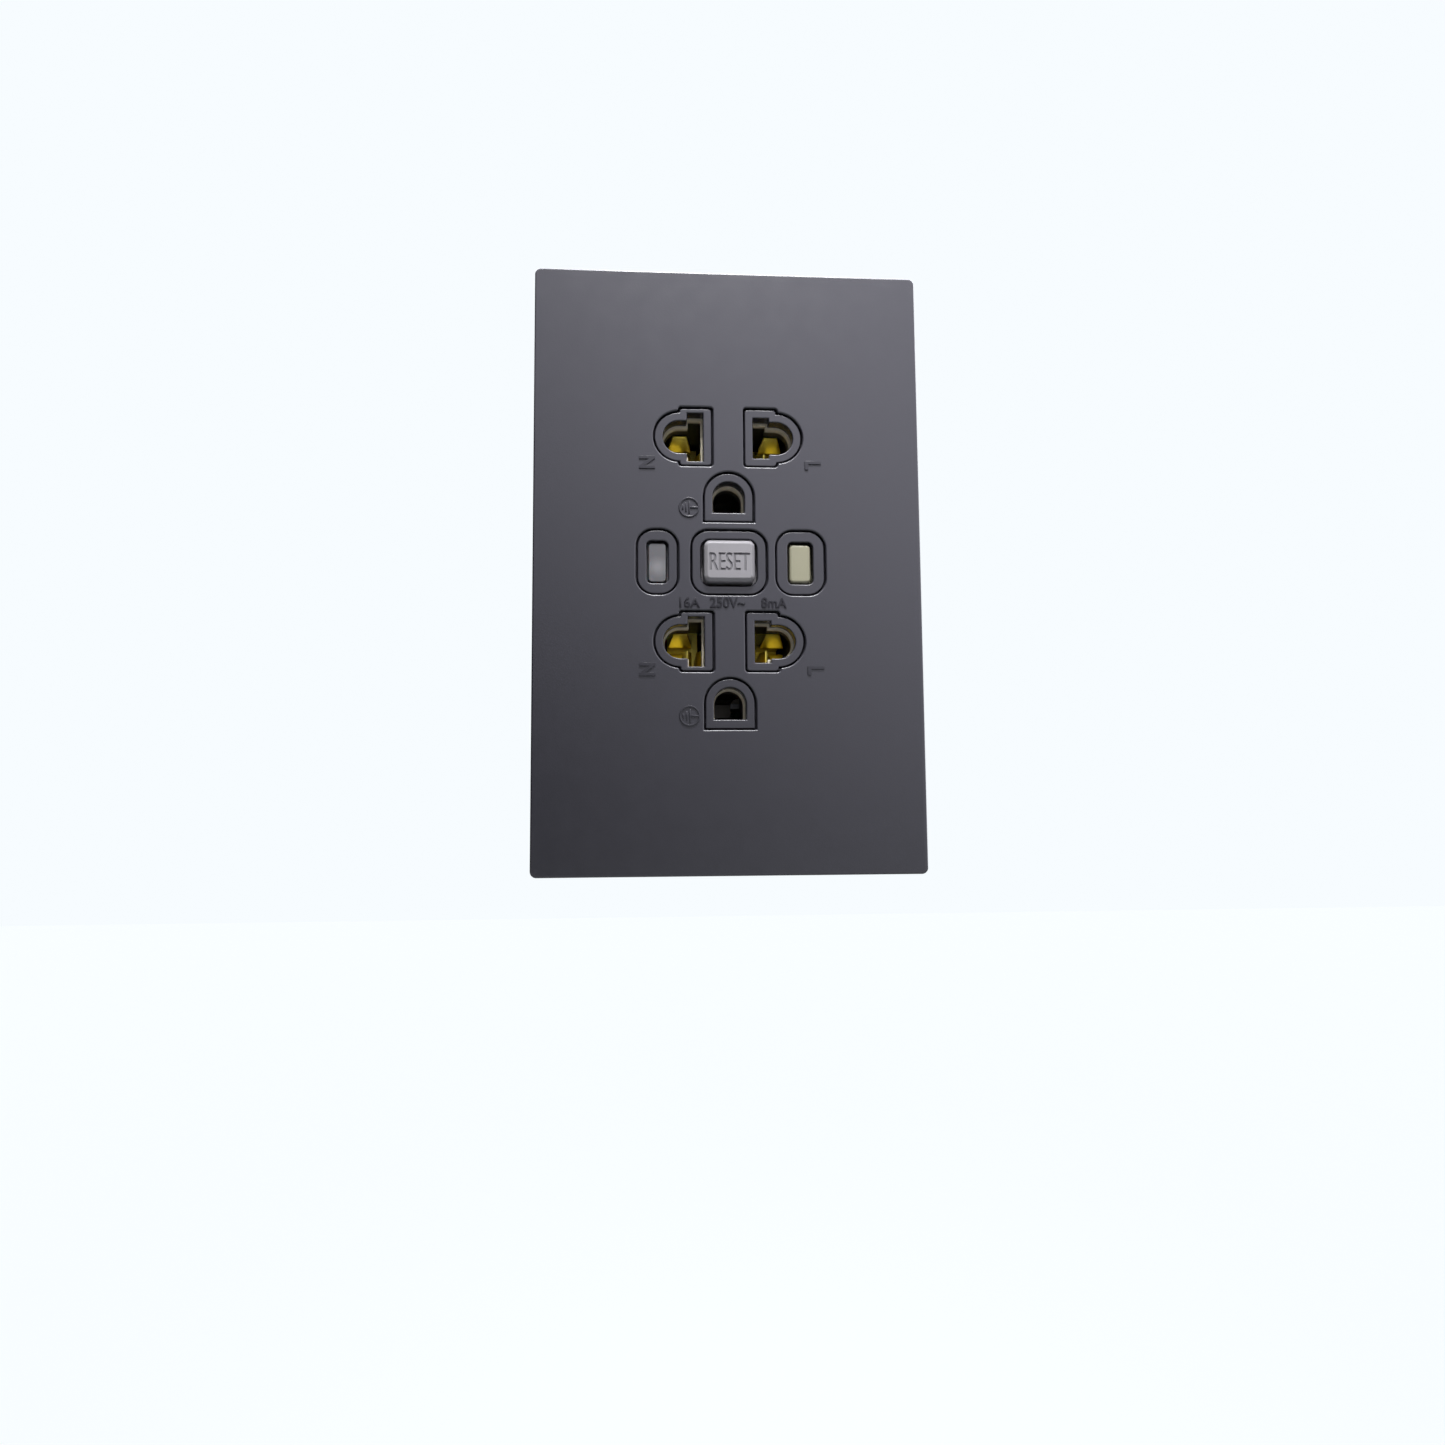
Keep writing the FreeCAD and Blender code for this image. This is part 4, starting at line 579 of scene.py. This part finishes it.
MAKERS = {
    "plate": lambda: plate_like(
        "plate_plastic", settings("plate").plate, roughness=0.23, relief=0.000018, specular=0.5
    ),
    "bosses": lambda: plate_like(
        "boss_plastic", settings("plate").bosses, roughness=0.24, relief=0.000018, specular=0.5
    ),
    # The marks get darker, less shiny copies of the plate plastic: painted shade for the shading
    # round the raised marks.
    "signs": lambda: plate_like(
        "sign_plastic_painted_shade", shade(settings("plate").plate, 0.8),
        roughness=0.25, relief=0.000004, specular=0.36,
    ),
    "rating": lambda: plate_like(
        "rating_plastic_painted_shade", shade(settings("plate").plate, 0.6),
        roughness=0.25, relief=0.000004, specular=0.22,
    ),
    "reset": lambda: moulded(
        "reset_plastic", settings("controls").reset,
        roughness=0.42, grain=0.00024, relief=0.000018, specular=0.45, variation=0.03,
    ),
    # A darker, duller copy of the reset plastic for the cut letters: painted shade in their
    # recesses.
    "word_shade": lambda: moulded(
        "engraving_painted_shade", shade(settings("controls").reset, 0.72),
        roughness=0.5, grain=0.00020, relief=0.000008, specular=0.3, variation=0.03,
    ),
    "test": lambda: moulded(
        "test_plastic", settings("controls").test,
        roughness=0.40, grain=0.00025, relief=0.000006, specular=0.45, variation=0.03,
    ),
    "lens": lens_finish,
    "tray": tray_finish,
    "housing": lambda: moulded(
        "housing_plastic", settings("back").housing,
        roughness=0.46, grain=0.00028, relief=0.000028, specular=0.5, variation=0.10,
    ),
    "carrier": lambda: moulded(
        "carrier_plastic", settings("back").carrier,
        roughness=0.48, grain=0.0003, relief=0.000024, specular=0.45, variation=0.05,
    ),
    "nylon": lambda: moulded(
        "nylon_plastic", settings("back").nylon,
        roughness=0.45, grain=0.0003, relief=0.000006, specular=0.45, variation=0.05,
    ),
    "black": lambda: moulded(
        "component_plastic", (0.02, 0.02, 0.02),
        roughness=0.4, grain=0.0002, relief=0.000006, specular=0.5, variation=0.15,
    ),
    "brass": lambda: rolled(
        "brass_sheet", settings("metals").brass, 0.38, along=(6, 0.35, 6), relief=0.0000015
    ),
    "turned_brass": lambda: rolled(
        "brass_screw", settings("metals").turned_brass, 0.34, relief=0.000002
    ),
    # Tin-plated earth contacts, darkened far below tin: painted shade for the dark deep in the
    # earth holes.
    "shade_darkened_tin": lambda: rolled(
        "tin_darkened_as_shade", (0.12, 0.11, 0.10), 0.45, along=(6, 0.35, 6), relief=0.0000015
    ),
    "zinc": lambda: rolled("zinc_steel", settings("metals").zinc, 0.36, along=(6, 6, 0.5)),
    "nickel": lambda: rolled("nickel_steel", settings("metals").nickel, 0.28),
    "green": lambda: rolled("green_steel", settings("metals").earth_green, 0.34),
    "wire": lambda: rolled("spring_wire", (0.45, 0.45, 0.46), 0.3),
    "silver": lambda: rolled("contact_silver", settings("metals").silver, 0.35),
    "copper_bar": lambda: rolled("copper_bar", settings("metals").copper, 0.32, along=(6, 6, 0.5)),
    "solenoid_winding": lambda: wound(
        "solenoid_winding", settings("metals").copper, "Z", pitch=0.00032
    ),
    "ring_winding": lambda: wound("ring_winding", settings("metals").copper, "X", pitch=0.00035),
    "board": board_finish,
    "red": lambda: speckled("dipped_red", (0.42, 0.07, 0.04), roughness=0.28, coat=0.5),
    "blue": lambda: speckled("dipped_blue", (0.03, 0.13, 0.42), roughness=0.28, coat=0.5),
    "tan": lambda: speckled("resistor_body", (0.55, 0.40, 0.24), roughness=0.35, coat=0.3),
    "lamp": lambda: speckled("lamp_epoxy", (0.12, 0.55, 0.20), roughness=0.15, coat=0.6),
}

FINISHES = {}


def finish_of(name):
    """Each finish is made once and shared."""
    if name not in FINISHES:
        FINISHES[name] = MAKERS[name]()
    return FINISHES[name]


# The stage and the pieces


class SOCKET_OT_stage(bpy.types.Operator):
    """Camera, soft light from above, pale surroundings and a pale floor"""

    bl_idname = "wall_socket.stage"
    bl_label = "Stage"

    def execute(self, context):
        s = settings("stage")
        self.camera(context.scene)
        self.lamp(
            "key", place=(0.03, -0.20, 0.34), target=(0.04, 0.0, 0.115),
            size=0.15, power=s.key, spread=50,
        )
        self.lamp(
            "rear", place=(0.20, 0.60, 0.45), target=(0.0, 0.0, 0.0),
            size=0.50, power=s.key * 1.5, spread=90,
        )
        self.surroundings(context.scene)
        self.floor()
        context.scene.view_settings.view_transform = "Standard"
        return {"FINISHED"}

    def camera(self, scene):
        camera = bpy.data.objects.new("camera", bpy.data.cameras.new("camera"))
        scene.collection.objects.link(camera)
        camera.data.lens = settings("stage").lens
        camera.data.sensor_width = SENSOR_WIDTH
        camera.data.clip_start = CAMERA_NEAR
        turn = Matrix((CAMERA_RIGHT, CAMERA_UP, CAMERA_BACK)).transposed().to_4x4()
        camera.matrix_world = Matrix.Translation(CAMERA_PLACE) @ turn
        scene.camera = camera

    def lamp(self, name, place, target, size, power, spread):
        """A square lamp that lights a cone of so many degrees and isn't seen itself."""
        data = bpy.data.lights.new(name + "_light", "AREA")
        data.size = size
        data.spread = math.radians(spread)
        data.energy = power
        lamp = bpy.data.objects.new(name + "_light", data)
        bpy.context.scene.collection.objects.link(lamp)
        lamp.location = place
        lamp.rotation_euler = (Vector(target) - Vector(place)).to_track_quat("-Z", "Y").to_euler()
        lamp.visible_camera = False

    def surroundings(self, scene):
        """Pale to the camera, and brighter upwards both as light and in reflections."""
        s = settings("stage")
        world = bpy.data.worlds.new("surroundings")
        scene.world = world
        world.use_nodes = True
        tree = world.node_tree
        tree.nodes.clear()
        sky = tree.nodes.new("ShaderNodeTexCoord").outputs["Generated"]
        day = self.by_direction(tree, sky, (0.35, -0.35, 1.0), (-0.35, 0.75), s.fill, least=0.03)
        rise = self.by_direction(tree, sky, (0.6, 0.0, 1.0), (-0.08, 0.44), s.gloss)
        above = self.by_direction(tree, sky, (0.1, 0.2, 1.0), (0.50, 0.95), s.zenith)
        seen = self.background(tree, s.backdrop)
        light = self.background(tree, (1.0, 1.0, 1.0), day)
        mirrored = self.background(tree, MIRRORED_COLOUR, combined(tree, "ADD", rise, above))
        rays = tree.nodes.new("ShaderNodeLightPath").outputs
        glossy = combined(tree, "MAXIMUM", rays["Is Glossy Ray"], rays["Is Transmission Ray"])
        unseen = mixed(tree, glossy, light, mirrored)
        out = tree.nodes.new("ShaderNodeOutputWorld")
        tree.links.new(mixed(tree, rays["Is Camera Ray"], unseen, seen), out.inputs["Surface"])

    def background(self, tree, tint, strength=None):
        node = tree.nodes.new("ShaderNodeBackground")
        node.inputs["Color"].default_value = (*tint, 1)
        if strength is not None:
            tree.links.new(strength, node.inputs["Strength"])
        return node.outputs["Background"]

    def by_direction(self, tree, sky, towards, between, most, least=0.0):
        """A strength that grows towards one side, from a least share of the most to the most."""
        side = tree.nodes.new("ShaderNodeVectorMath")
        side.operation = "DOT_PRODUCT"
        side.inputs[1].default_value = Vector(towards).normalized()
        tree.links.new(sky, side.inputs[0])
        ramp = tree.nodes.new("ShaderNodeMapRange")
        ramp.inputs["From Min"].default_value = between[0]
        ramp.inputs["From Max"].default_value = between[1]
        ramp.inputs["To Min"].default_value = least * most
        ramp.inputs["To Max"].default_value = most
        tree.links.new(side.outputs["Value"], ramp.inputs["Value"])
        return ramp.outputs["Result"]

    def floor(self):
        """A floor of pale paper that keeps the shadow and glows a little where it is seen."""
        s = settings("stage")
        floor = added(
            bpy.ops.mesh.primitive_plane_add, "floor",
            size=FLOOR_SIZE, location=(0, 0, -s.floor_z),
        )
        settle(floor)
        finish = Finish("floor_paper")
        tree = finish.tree
        finish.feed(Roughness=finish.span(finish.noise(0.05, 3.0), 0.92, 0.97))
        finish.set(Base_Color=(*FLOOR_COLOUR, 1))
        glow = tree.nodes.new("ShaderNodeEmission")
        glow.inputs["Color"].default_value = (*s.backdrop, 1)
        glow.inputs["Strength"].default_value = FLOOR_GLOW
        rays = tree.nodes.new("ShaderNodeLightPath").outputs
        seen = combined(tree, "MAXIMUM", rays["Is Camera Ray"], rays["Is Glossy Ray"])
        share = finish.span(seen, 0.0, FLOOR_GLOW_SHARE, 0.0, 1.0)
        paper = mixed(tree, share, finish.shader.outputs["BSDF"], glow.outputs["Emission"])
        finish.link(paper, tree.nodes["Material Output"].inputs["Surface"])
        dress(floor, finish.material)


class SOCKET_OT_plate(bpy.types.Operator):
    """Cover plate with softly rounded cut-outs"""

    bl_idname = "wall_socket.plate"
    bl_label = "Cover plate"

    def execute(self, context):
        softened("cover_plate", settings("plate").edge, finish_of("plate"))
        return {"FINISHED"}


class SOCKET_OT_front_housing(bpy.types.Operator):
    """Front housing with the raised bosses round the holes"""

    bl_idname = "wall_socket.front_housing"
    bl_label = "Front housing"

    def execute(self, context):
        softened("front_housing", settings("plate").boss_edge, finish_of("bosses"))
        return {"FINISHED"}


def lettering(name, text, w, h, depth, rim, bold):
    """A word as a solid, fitted to a width and a height, lying in the XZ plane and facing -Y."""
    bpy.ops.object.select_all(action="DESELECT")
    bpy.ops.object.text_add(location=(0, 0, 0))
    word = bpy.context.object
    word.data.body = text
    word.data.extrude = 0.5
    word.data.offset = bold
    word.data.resolution_u = 4
    bpy.ops.object.convert(target="MESH")
    word = named(bpy.context.object, name)
    only(word)
    xs = [v.co.x for v in word.data.vertices]
    ys = [v.co.y for v in word.data.vertices]
    word.location = (-(min(xs) + max(xs)) / 2, -(min(ys) + max(ys)) / 2, 0)
    bpy.ops.object.transform_apply(location=True)
    word.scale = (w / (max(xs) - min(xs)), h / (max(ys) - min(ys)), depth)
    bpy.ops.object.transform_apply(scale=True)
    edit_all(word)
    bpy.ops.mesh.remove_doubles(threshold=SAME_LETTER_POINT)
    bpy.ops.mesh.dissolve_limited(angle_limit=math.radians(1))
    done()
    word.rotation_euler = (math.radians(90), 0, 0)
    bpy.ops.object.transform_apply(rotation=True)
    if rim > 0:
        rounded(word, rim, 2, MARK_ANGLE)
    return word


def turned(piece, degrees):
    """Turn a mark about the line of sight, clockwise as seen from the front."""
    only(piece)
    piece.rotation_euler = (0, math.radians(degrees), 0)
    bpy.ops.object.transform_apply(rotation=True)


def moved(piece, x, y, z):
    """Move a mark to its place."""
    only(piece)
    piece.location = (x, y, z)
    settle(piece)
    return piece


def bar(name, x, z, w, h, depth):
    """One raised line of a mark, with softened rims."""
    piece = added(
        bpy.ops.mesh.primitive_cube_add, name, size=1, location=(x, 0, z), scale=(w, depth, h)
    )
    settle(piece)
    rounded(piece, min(w, h, depth) * MARK_RIM, 2, MARK_ANGLE)
    return piece


def ring(name, radius, width, depth):
    """Raised ring of a mark: a disc, inset, opened and pulled out to its height."""
    piece = added(
        bpy.ops.mesh.primitive_circle_add, name,
        vertices=48, radius=radius, fill_type="NGON", location=(0, 0, 0),
    )
    edit_all(piece)
    bpy.ops.mesh.inset(thickness=width, depth=0)
    bpy.ops.mesh.delete(type="FACE")
    bpy.ops.mesh.select_all(action="SELECT")
    bpy.ops.mesh.extrude_region_move(TRANSFORM_OT_translate={"value": (0, 0, depth)})
    bpy.ops.mesh.select_all(action="SELECT")
    bpy.ops.mesh.normals_make_consistent(inside=False)
    done()
    piece.rotation_euler = (math.radians(90), 0, 0)
    piece.location = (0, depth / 2, 0)
    settle(piece)
    rounded(piece, width * MARK_RIM, 2, MARK_ANGLE)
    return piece


class SOCKET_OT_marks(bpy.types.Operator):
    """Pole letters, earth signs and rating raised on the plate, in darker plastic as painted shade
    """

    bl_idname = "wall_socket.marks"
    bl_label = "Raised marks"

    def execute(self, context):
        s = settings("marks")
        depth = s.height + MARK_SINK
        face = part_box("cover_plate")[0][1]
        y = face + MARK_SINK - depth / 2
        for row, z in MARK_ROWS:
            for pole, text, wide, tall, x, drop in POLES:
                name = row + "_" + pole + "_mark"
                letter = lettering(name, text, wide * MM, tall * MM, depth, POLE_RIM, POLE_BOLD)
                turned(letter, 90)
                self.keep(moved(letter, x * MM, y, (z - drop) * MM))
        for row, x, z in EARTH_SIGNS:
            self.keep(moved(self.earth_sign(row + "_earth_mark", depth), x * MM, y, z * MM))
        for name, text, x0, x1 in RATING:
            wide = (x1 - x0) * MM
            word = lettering(name + "_rating", text, wide, s.cap, depth, RATING_RIM, RATING_BOLD)
            moved(word, (x0 + x1) / 2 * MM, y, RATING_FOOT * MM + s.cap / 2)
            self.keep(word, "rating")
        return {"FINISHED"}

    def earth_sign(self, name, depth):
        """A ring with the stem and the three shorter and shorter bars of the earth symbol."""
        w = settings("marks").stroke
        parts = [ring(name, 2.0 * MM, w * 0.9, depth)]
        parts.append(bar(name + "_stem", 0.9 * MM, 0, 1.7 * MM, w, depth))
        for i, tall in enumerate(EARTH_BARS):
            x = (0.05 - 0.62 * i) * MM
            parts.append(bar(name + "_bar", x, 0, w * 0.8, tall * MM, depth))
        return joined(parts, name)

    def keep(self, piece, finish="signs"):
        dress(piece, finish_of(finish))
        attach(piece, body_of("cover_plate"))


class SOCKET_OT_reset_button(bpy.types.Operator):
    """Reset button with the word cut into its face, the cut faces darker as painted shade"""

    bl_idname = "wall_socket.reset_button"
    bl_label = "Reset button"

    def execute(self, context):
        s = settings("marks")
        piece = softened("reset_button", BUTTON_EDGE, finish_of("reset"))
        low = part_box("reset_button")[0]
        centre = middle("reset_button")
        for shift in (-WORD_BOLD, WORD_BOLD):
            wide = s.reset_w - 2 * WORD_BOLD
            word = lettering("word", "RESET", wide, s.reset_h, 2 * s.reset_cut, 0.0, 0.0)
            moved(word, centre.x + shift, low[1], centre.z - WORD_DROP)
            carve(piece, word)
        even(piece)
        dress(piece, finish_of("reset"))
        # The faces cut for the word get the darker plastic: painted shade in the letters'
        # recesses.
        piece.data.materials.append(finish_of("word_shade"))
        for face in piece.data.polygons:
            across = abs(face.center.x - centre.x) < s.reset_w / 2 + WORD_SLACK
            up = abs(face.center.z - centre.z + WORD_DROP) < s.reset_h / 2 + WORD_SLACK
            cut = low[1] + WORD_SLACK < face.center.y < low[1] + s.reset_cut + WORD_SLACK
            face.material_index = 1 if across and up and cut else 0
        return {"FINISHED"}


class SOCKET_OT_side_controls(bpy.types.Operator):
    """Test key and indicator lens"""

    bl_idname = "wall_socket.side_controls"
    bl_label = "Test key and lens"

    def execute(self, context):
        softened("test_button", KEY_EDGE, finish_of("test"), 4)
        softened("indicator_lens", KEY_EDGE, finish_of("lens"), 4)
        return {"FINISHED"}


class SOCKET_OT_contacts(bpy.types.Operator):
    """Contact tray and the contacts that show in the holes"""

    bl_idname = "wall_socket.contacts"
    bl_label = "Tray and contacts"

    def execute(self, context):
        softened("contact_tray", TRAY_EDGE, finish_of("tray"), 2, screw_lines())
        worn = {
            "brass": ("line_contact_strip", "neutral_contact_strip"),
            "shade_darkened_tin": ("earth_contact_upper", "earth_contact_lower"),
            "turned_brass": ("line_supply_terminal", "neutral_supply_terminal"),
        }
        for finish, nodes in worn.items():
            for node in nodes:
                softened(node, settings("back").metal_edge, finish_of(finish), 2)
        return {"FINISHED"}


class SOCKET_OT_housings(bpy.types.Operator):
    """Rear housing, carrier frame, steel strap and clamp plates"""

    bl_idname = "wall_socket.housings"
    bl_label = "Housing and strap"

    def execute(self, context):
        s = settings("back")
        softened("rear_housing", REAR_EDGE, finish_of("housing"), 3, screw_lines())
        softened("carrier_frame", s.mould_edge, finish_of("carrier"))
        softened("mounting_strap", s.metal_edge, finish_of("zinc"), 2)
        softened("clamp_plates", s.metal_edge, finish_of("zinc"), 2)
        return {"FINISHED"}


def screw(name, size, reach):
    """One screw along +Z: a crowned head with a combined slot and cross, and a threaded shank."""
    head_r, head_h = size.head_r, size.head_h
    head = added(
        bpy.ops.mesh.primitive_cylinder_add, name,
        vertices=48, radius=head_r, depth=head_h, location=(0, 0, head_h / 2),
    )
    settle(head)
    edit_all(head)
    bpy.ops.mesh.select_all(action="DESELECT")
    done()
    for face in head.data.polygons:
        face.select = face.normal.z > 0.9
    only(head)
    bpy.ops.object.mode_set(mode="EDIT")
    bpy.ops.mesh.select_mode(type="FACE")
    bpy.ops.mesh.inset(thickness=head_r * 0.22, depth=0)
    done()
    for v in head.data.vertices:
        inner = math.hypot(v.co.x, v.co.y) < head_r * 0.9
        if not inner and v.co.z > head_h * 0.5:
            v.co.z -= head_h * 0.22
    rounded(head, head_h * 0.06, 2)
    slot_w = head_r * 0.26
    for degrees, slot_l in ((0, head_r * 2.4), (90, head_r * 1.15)):
        cutter = added(
            bpy.ops.mesh.primitive_cube_add, "slot_cutter",
            size=1, location=(0, 0, head_h), scale=(slot_l, slot_w, head_h * 1.1),
        )
        only(cutter)
        bpy.ops.object.transform_apply(scale=True, location=True)
        cutter.rotation_euler = (0, 0, math.radians(degrees))
        bpy.ops.object.transform_apply(rotation=True)
        carve(head, cutter)
    piece = joined([head, thread(name + "_shank", size.shank_r, reach)], name)
    even(piece, SCREW_ANGLE)
    return piece


def thread(name, radius, reach):
    """Threaded shank down from the origin: a rod with a cone out and a cone in for each turn."""
    count = max(3, int(reach / (radius * THREAD_PITCH)))
    pitch = reach / count
    rod = added(
        bpy.ops.mesh.primitive_cylinder_add, name,
        vertices=24, radius=radius * THREAD_CORE, depth=reach, location=(0, 0, -reach / 2),
    )
    settle(rod)
    ribs = [rod]
    root = radius * THREAD_ROOT
    flank = pitch * THREAD_FLANK
    for i in range(count):
        top = -pitch * (i + THREAD_FLANK)
        for lower, upper, z in ((root, radius, top), (radius, root, top - flank)):
            rib = added(
                bpy.ops.mesh.primitive_cone_add, name + "_rib",
                vertices=24, radius1=lower, radius2=upper, depth=flank, location=(0, 0, z),
            )
            settle(rib)
            ribs.append(rib)
    return joined(ribs, name)


def aimed(piece, axis, seat, twist):
    """Place a screw with its head towards an axis and its seat at a point."""
    only(piece)
    across = Vector((0, 0, 1)).rotation_difference(Vector(axis)).to_matrix()
    turn = across @ Matrix.Rotation(math.radians(twist), 3, "Z")
    piece.rotation_euler = turn.to_euler()
    piece.location = seat
    settle(piece)


class SOCKET_OT_screws(bpy.types.Operator):
    """Terminal, earth, frame and housing screws with their recesses"""

    bl_idname = "wall_socket.screws"
    bl_label = "Screws"

    def execute(self, context):
        for node, side, metal in (
            ("line_terminal_screws", 1, "turned_brass"), ("neutral_terminal_screws", -1, "nickel"),
        ):
            places = [(0, middle(node).y, z) for z in reversed(self.ends(node, 2, TERMINAL_SCREW))]
            names = (node + "_1", node + "_2")
            self.fit(node, names, TERMINAL_SCREW, (side, 0, 0), places, (15, 70), metal)
        places = [middle("earth_screw")]
        names = ("earth_screw_finished",)
        self.fit("earth_screw", names, TERMINAL_SCREW, (0, 0, -1), places, (20,), "green")
        places = [(0, 0, z) for z in reversed(self.ends("frame_screws", 2, FRAME_SCREW))]
        names = ("frame_screw_1", "frame_screw_2")
        self.fit("frame_screws", names, FRAME_SCREW, (0, -1, 0), places, (35, 80), "zinc")
        places = [
            (x, 0, z)
            for x in self.ends("housing_screws", 0, HOUSING_SCREW)
            for z in self.ends("housing_screws", 2, HOUSING_SCREW)
        ]
        names = ["housing_screw_%d" % i for i in (1, 2, 3, 4)]
        twists = (10, 55, 100, 30)
        self.fit("housing_screws", names, HOUSING_SCREW, (0, 1, 0), places, twists, "zinc")
        return {"FINISHED"}

    def ends(self, node, along, size):
        """The middles of the first and the last screw of a row along one axis."""
        low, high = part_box(node)
        return low[along] + size.head_r, high[along] - size.head_r

    def fit(self, node, names, size, axis, places, twists, metal):
        """Make one screw and its copies, each with its head's top at the CAD screws' end."""
        low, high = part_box(node)
        along = [abs(part) for part in axis].index(1)
        seat = high[along] - size.head_h if axis[along] > 0 else low[along] + size.head_h
        first = screw(names[0], size, high[along] - low[along] - size.head_h)
        pieces = [first] + [copy_of(first, name) for name in names[1:]]
        for piece, place, twist in zip(pieces, places, twists):
            place = list(place)
            place[along] = seat
            aimed(piece, axis, place, twist)
            dress(piece, finish_of(metal))
            stand_for(piece, node)


class SOCKET_OT_mechanism(bpy.types.Operator):
    """Finishes for the springs, the latch, the solenoid and the circuit board"""

    bl_idname = "wall_socket.mechanism"
    bl_label = "Mechanism and board"

    def execute(self, context):
        worn = {
            "nylon": ("solenoid_bobbin", "latch_block"),
            "zinc": ("solenoid_yoke",),
            "wire": ("reset_pin", "plunger", "latch_plate"),
            "copper_bar": ("primary_conductors", "line_contact_arm", "neutral_contact_arm"),
            "silver": ("line_moving_contact", "neutral_moving_contact", "fixed_contacts"),
            "brass": ("arm_posts", "test_contacts"),
            "black": ("transformer_cup", "thyristor", "diodes", "control_chip"),
            "red": ("capacitor",),
            "blue": ("varistor",),
            "tan": ("resistors",),
            "lamp": ("indicator_led",),
            "board": ("circuit_board",),
            "solenoid_winding": ("solenoid_coil",),
            "ring_winding": ("sense_coil", "neutral_sense_coil"),
        }
        for finish, nodes in worn.items():
            for node in nodes:
                softened(node, INNER_EDGE, finish_of(finish), 2)
        for joint in frame["record"]["behaviour"]["joints"]:
            for change in joint.get("deforming_nodes", ()):
                self.spring(joint, change)
        return {"FINISHED"}

    def spring(self, joint, change):
        """A coil spring in spring wire, shaded smooth, standing for the CAD spring; the point at
        its fixed end is worked out, but it does not close up as its button or plunger moves.
        """
        node = change["node"]
        letter = change["mode"][-1]
        along = "xyz".index(letter)
        piece = copy_of(frame["nodes"][node], node + "_finished")
        even(piece, SPRING_ANGLE)
        dress(piece, finish_of("wire"))
        stand_for(piece, node)
        anchor = list(middle(node))
        anchor[along] = change["fixed_end_%s_m" % letter]
        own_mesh(piece)


class SOCKET_PT_panel(bpy.types.Panel):
    bl_idname = "SOCKET_PT_panel"
    bl_label = "Wall Socket"
    bl_space_type = "VIEW_3D"
    bl_region_type = "UI"
    bl_category = "Wall Socket"

    def draw(self, context):
        for operator in OPERATORS:
            self.layout.operator(operator.bl_idname)
        for name in GROUPS:
            box = self.layout.box()
            box.label(text=name.capitalize())
            group = settings(name)
            for field in group.bl_rna.properties:
                if field.identifier not in ("rna_type", "name"):
                    box.prop(group, field.identifier)


OPERATORS = (
    SOCKET_OT_stage,
    SOCKET_OT_plate,
    SOCKET_OT_front_housing,
    SOCKET_OT_marks,
    SOCKET_OT_reset_button,
    SOCKET_OT_side_controls,
    SOCKET_OT_contacts,
    SOCKET_OT_housings,
    SOCKET_OT_screws,
    SOCKET_OT_mechanism,
)

GROUPS = {
    "plate": SocketPlateSettings,
    "marks": SocketMarkSettings,
    "controls": SocketControlSettings,
    "metals": SocketMetalSettings,
    "back": SocketBackSettings,
    "stage": SocketStageSettings,
}


def register():
    for name, group in GROUPS.items():
        bpy.utils.register_class(group)
        setattr(bpy.types.Scene, "wall_socket_" + name, bpy.props.PointerProperty(type=group))
    for operator in OPERATORS:
        bpy.utils.register_class(operator)
    bpy.utils.register_class(SOCKET_PT_panel)


def unregister():
    bpy.utils.unregister_class(SOCKET_PT_panel)
    for operator in reversed(OPERATORS):
        bpy.utils.unregister_class(operator)
    for name, group in GROUPS.items():
        delattr(bpy.types.Scene, "wall_socket_" + name)
        bpy.utils.unregister_class(group)


def main():
    register()
    bpy.ops.wall_socket.stage()
    bpy.ops.wall_socket.plate()
    bpy.ops.wall_socket.front_housing()
    bpy.ops.wall_socket.marks()
    bpy.ops.wall_socket.reset_button()
    bpy.ops.wall_socket.side_controls()
    bpy.ops.wall_socket.contacts()
    bpy.ops.wall_socket.housings()
    bpy.ops.wall_socket.screws()
    bpy.ops.wall_socket.mechanism()


if __name__ == "__main__":
    main()
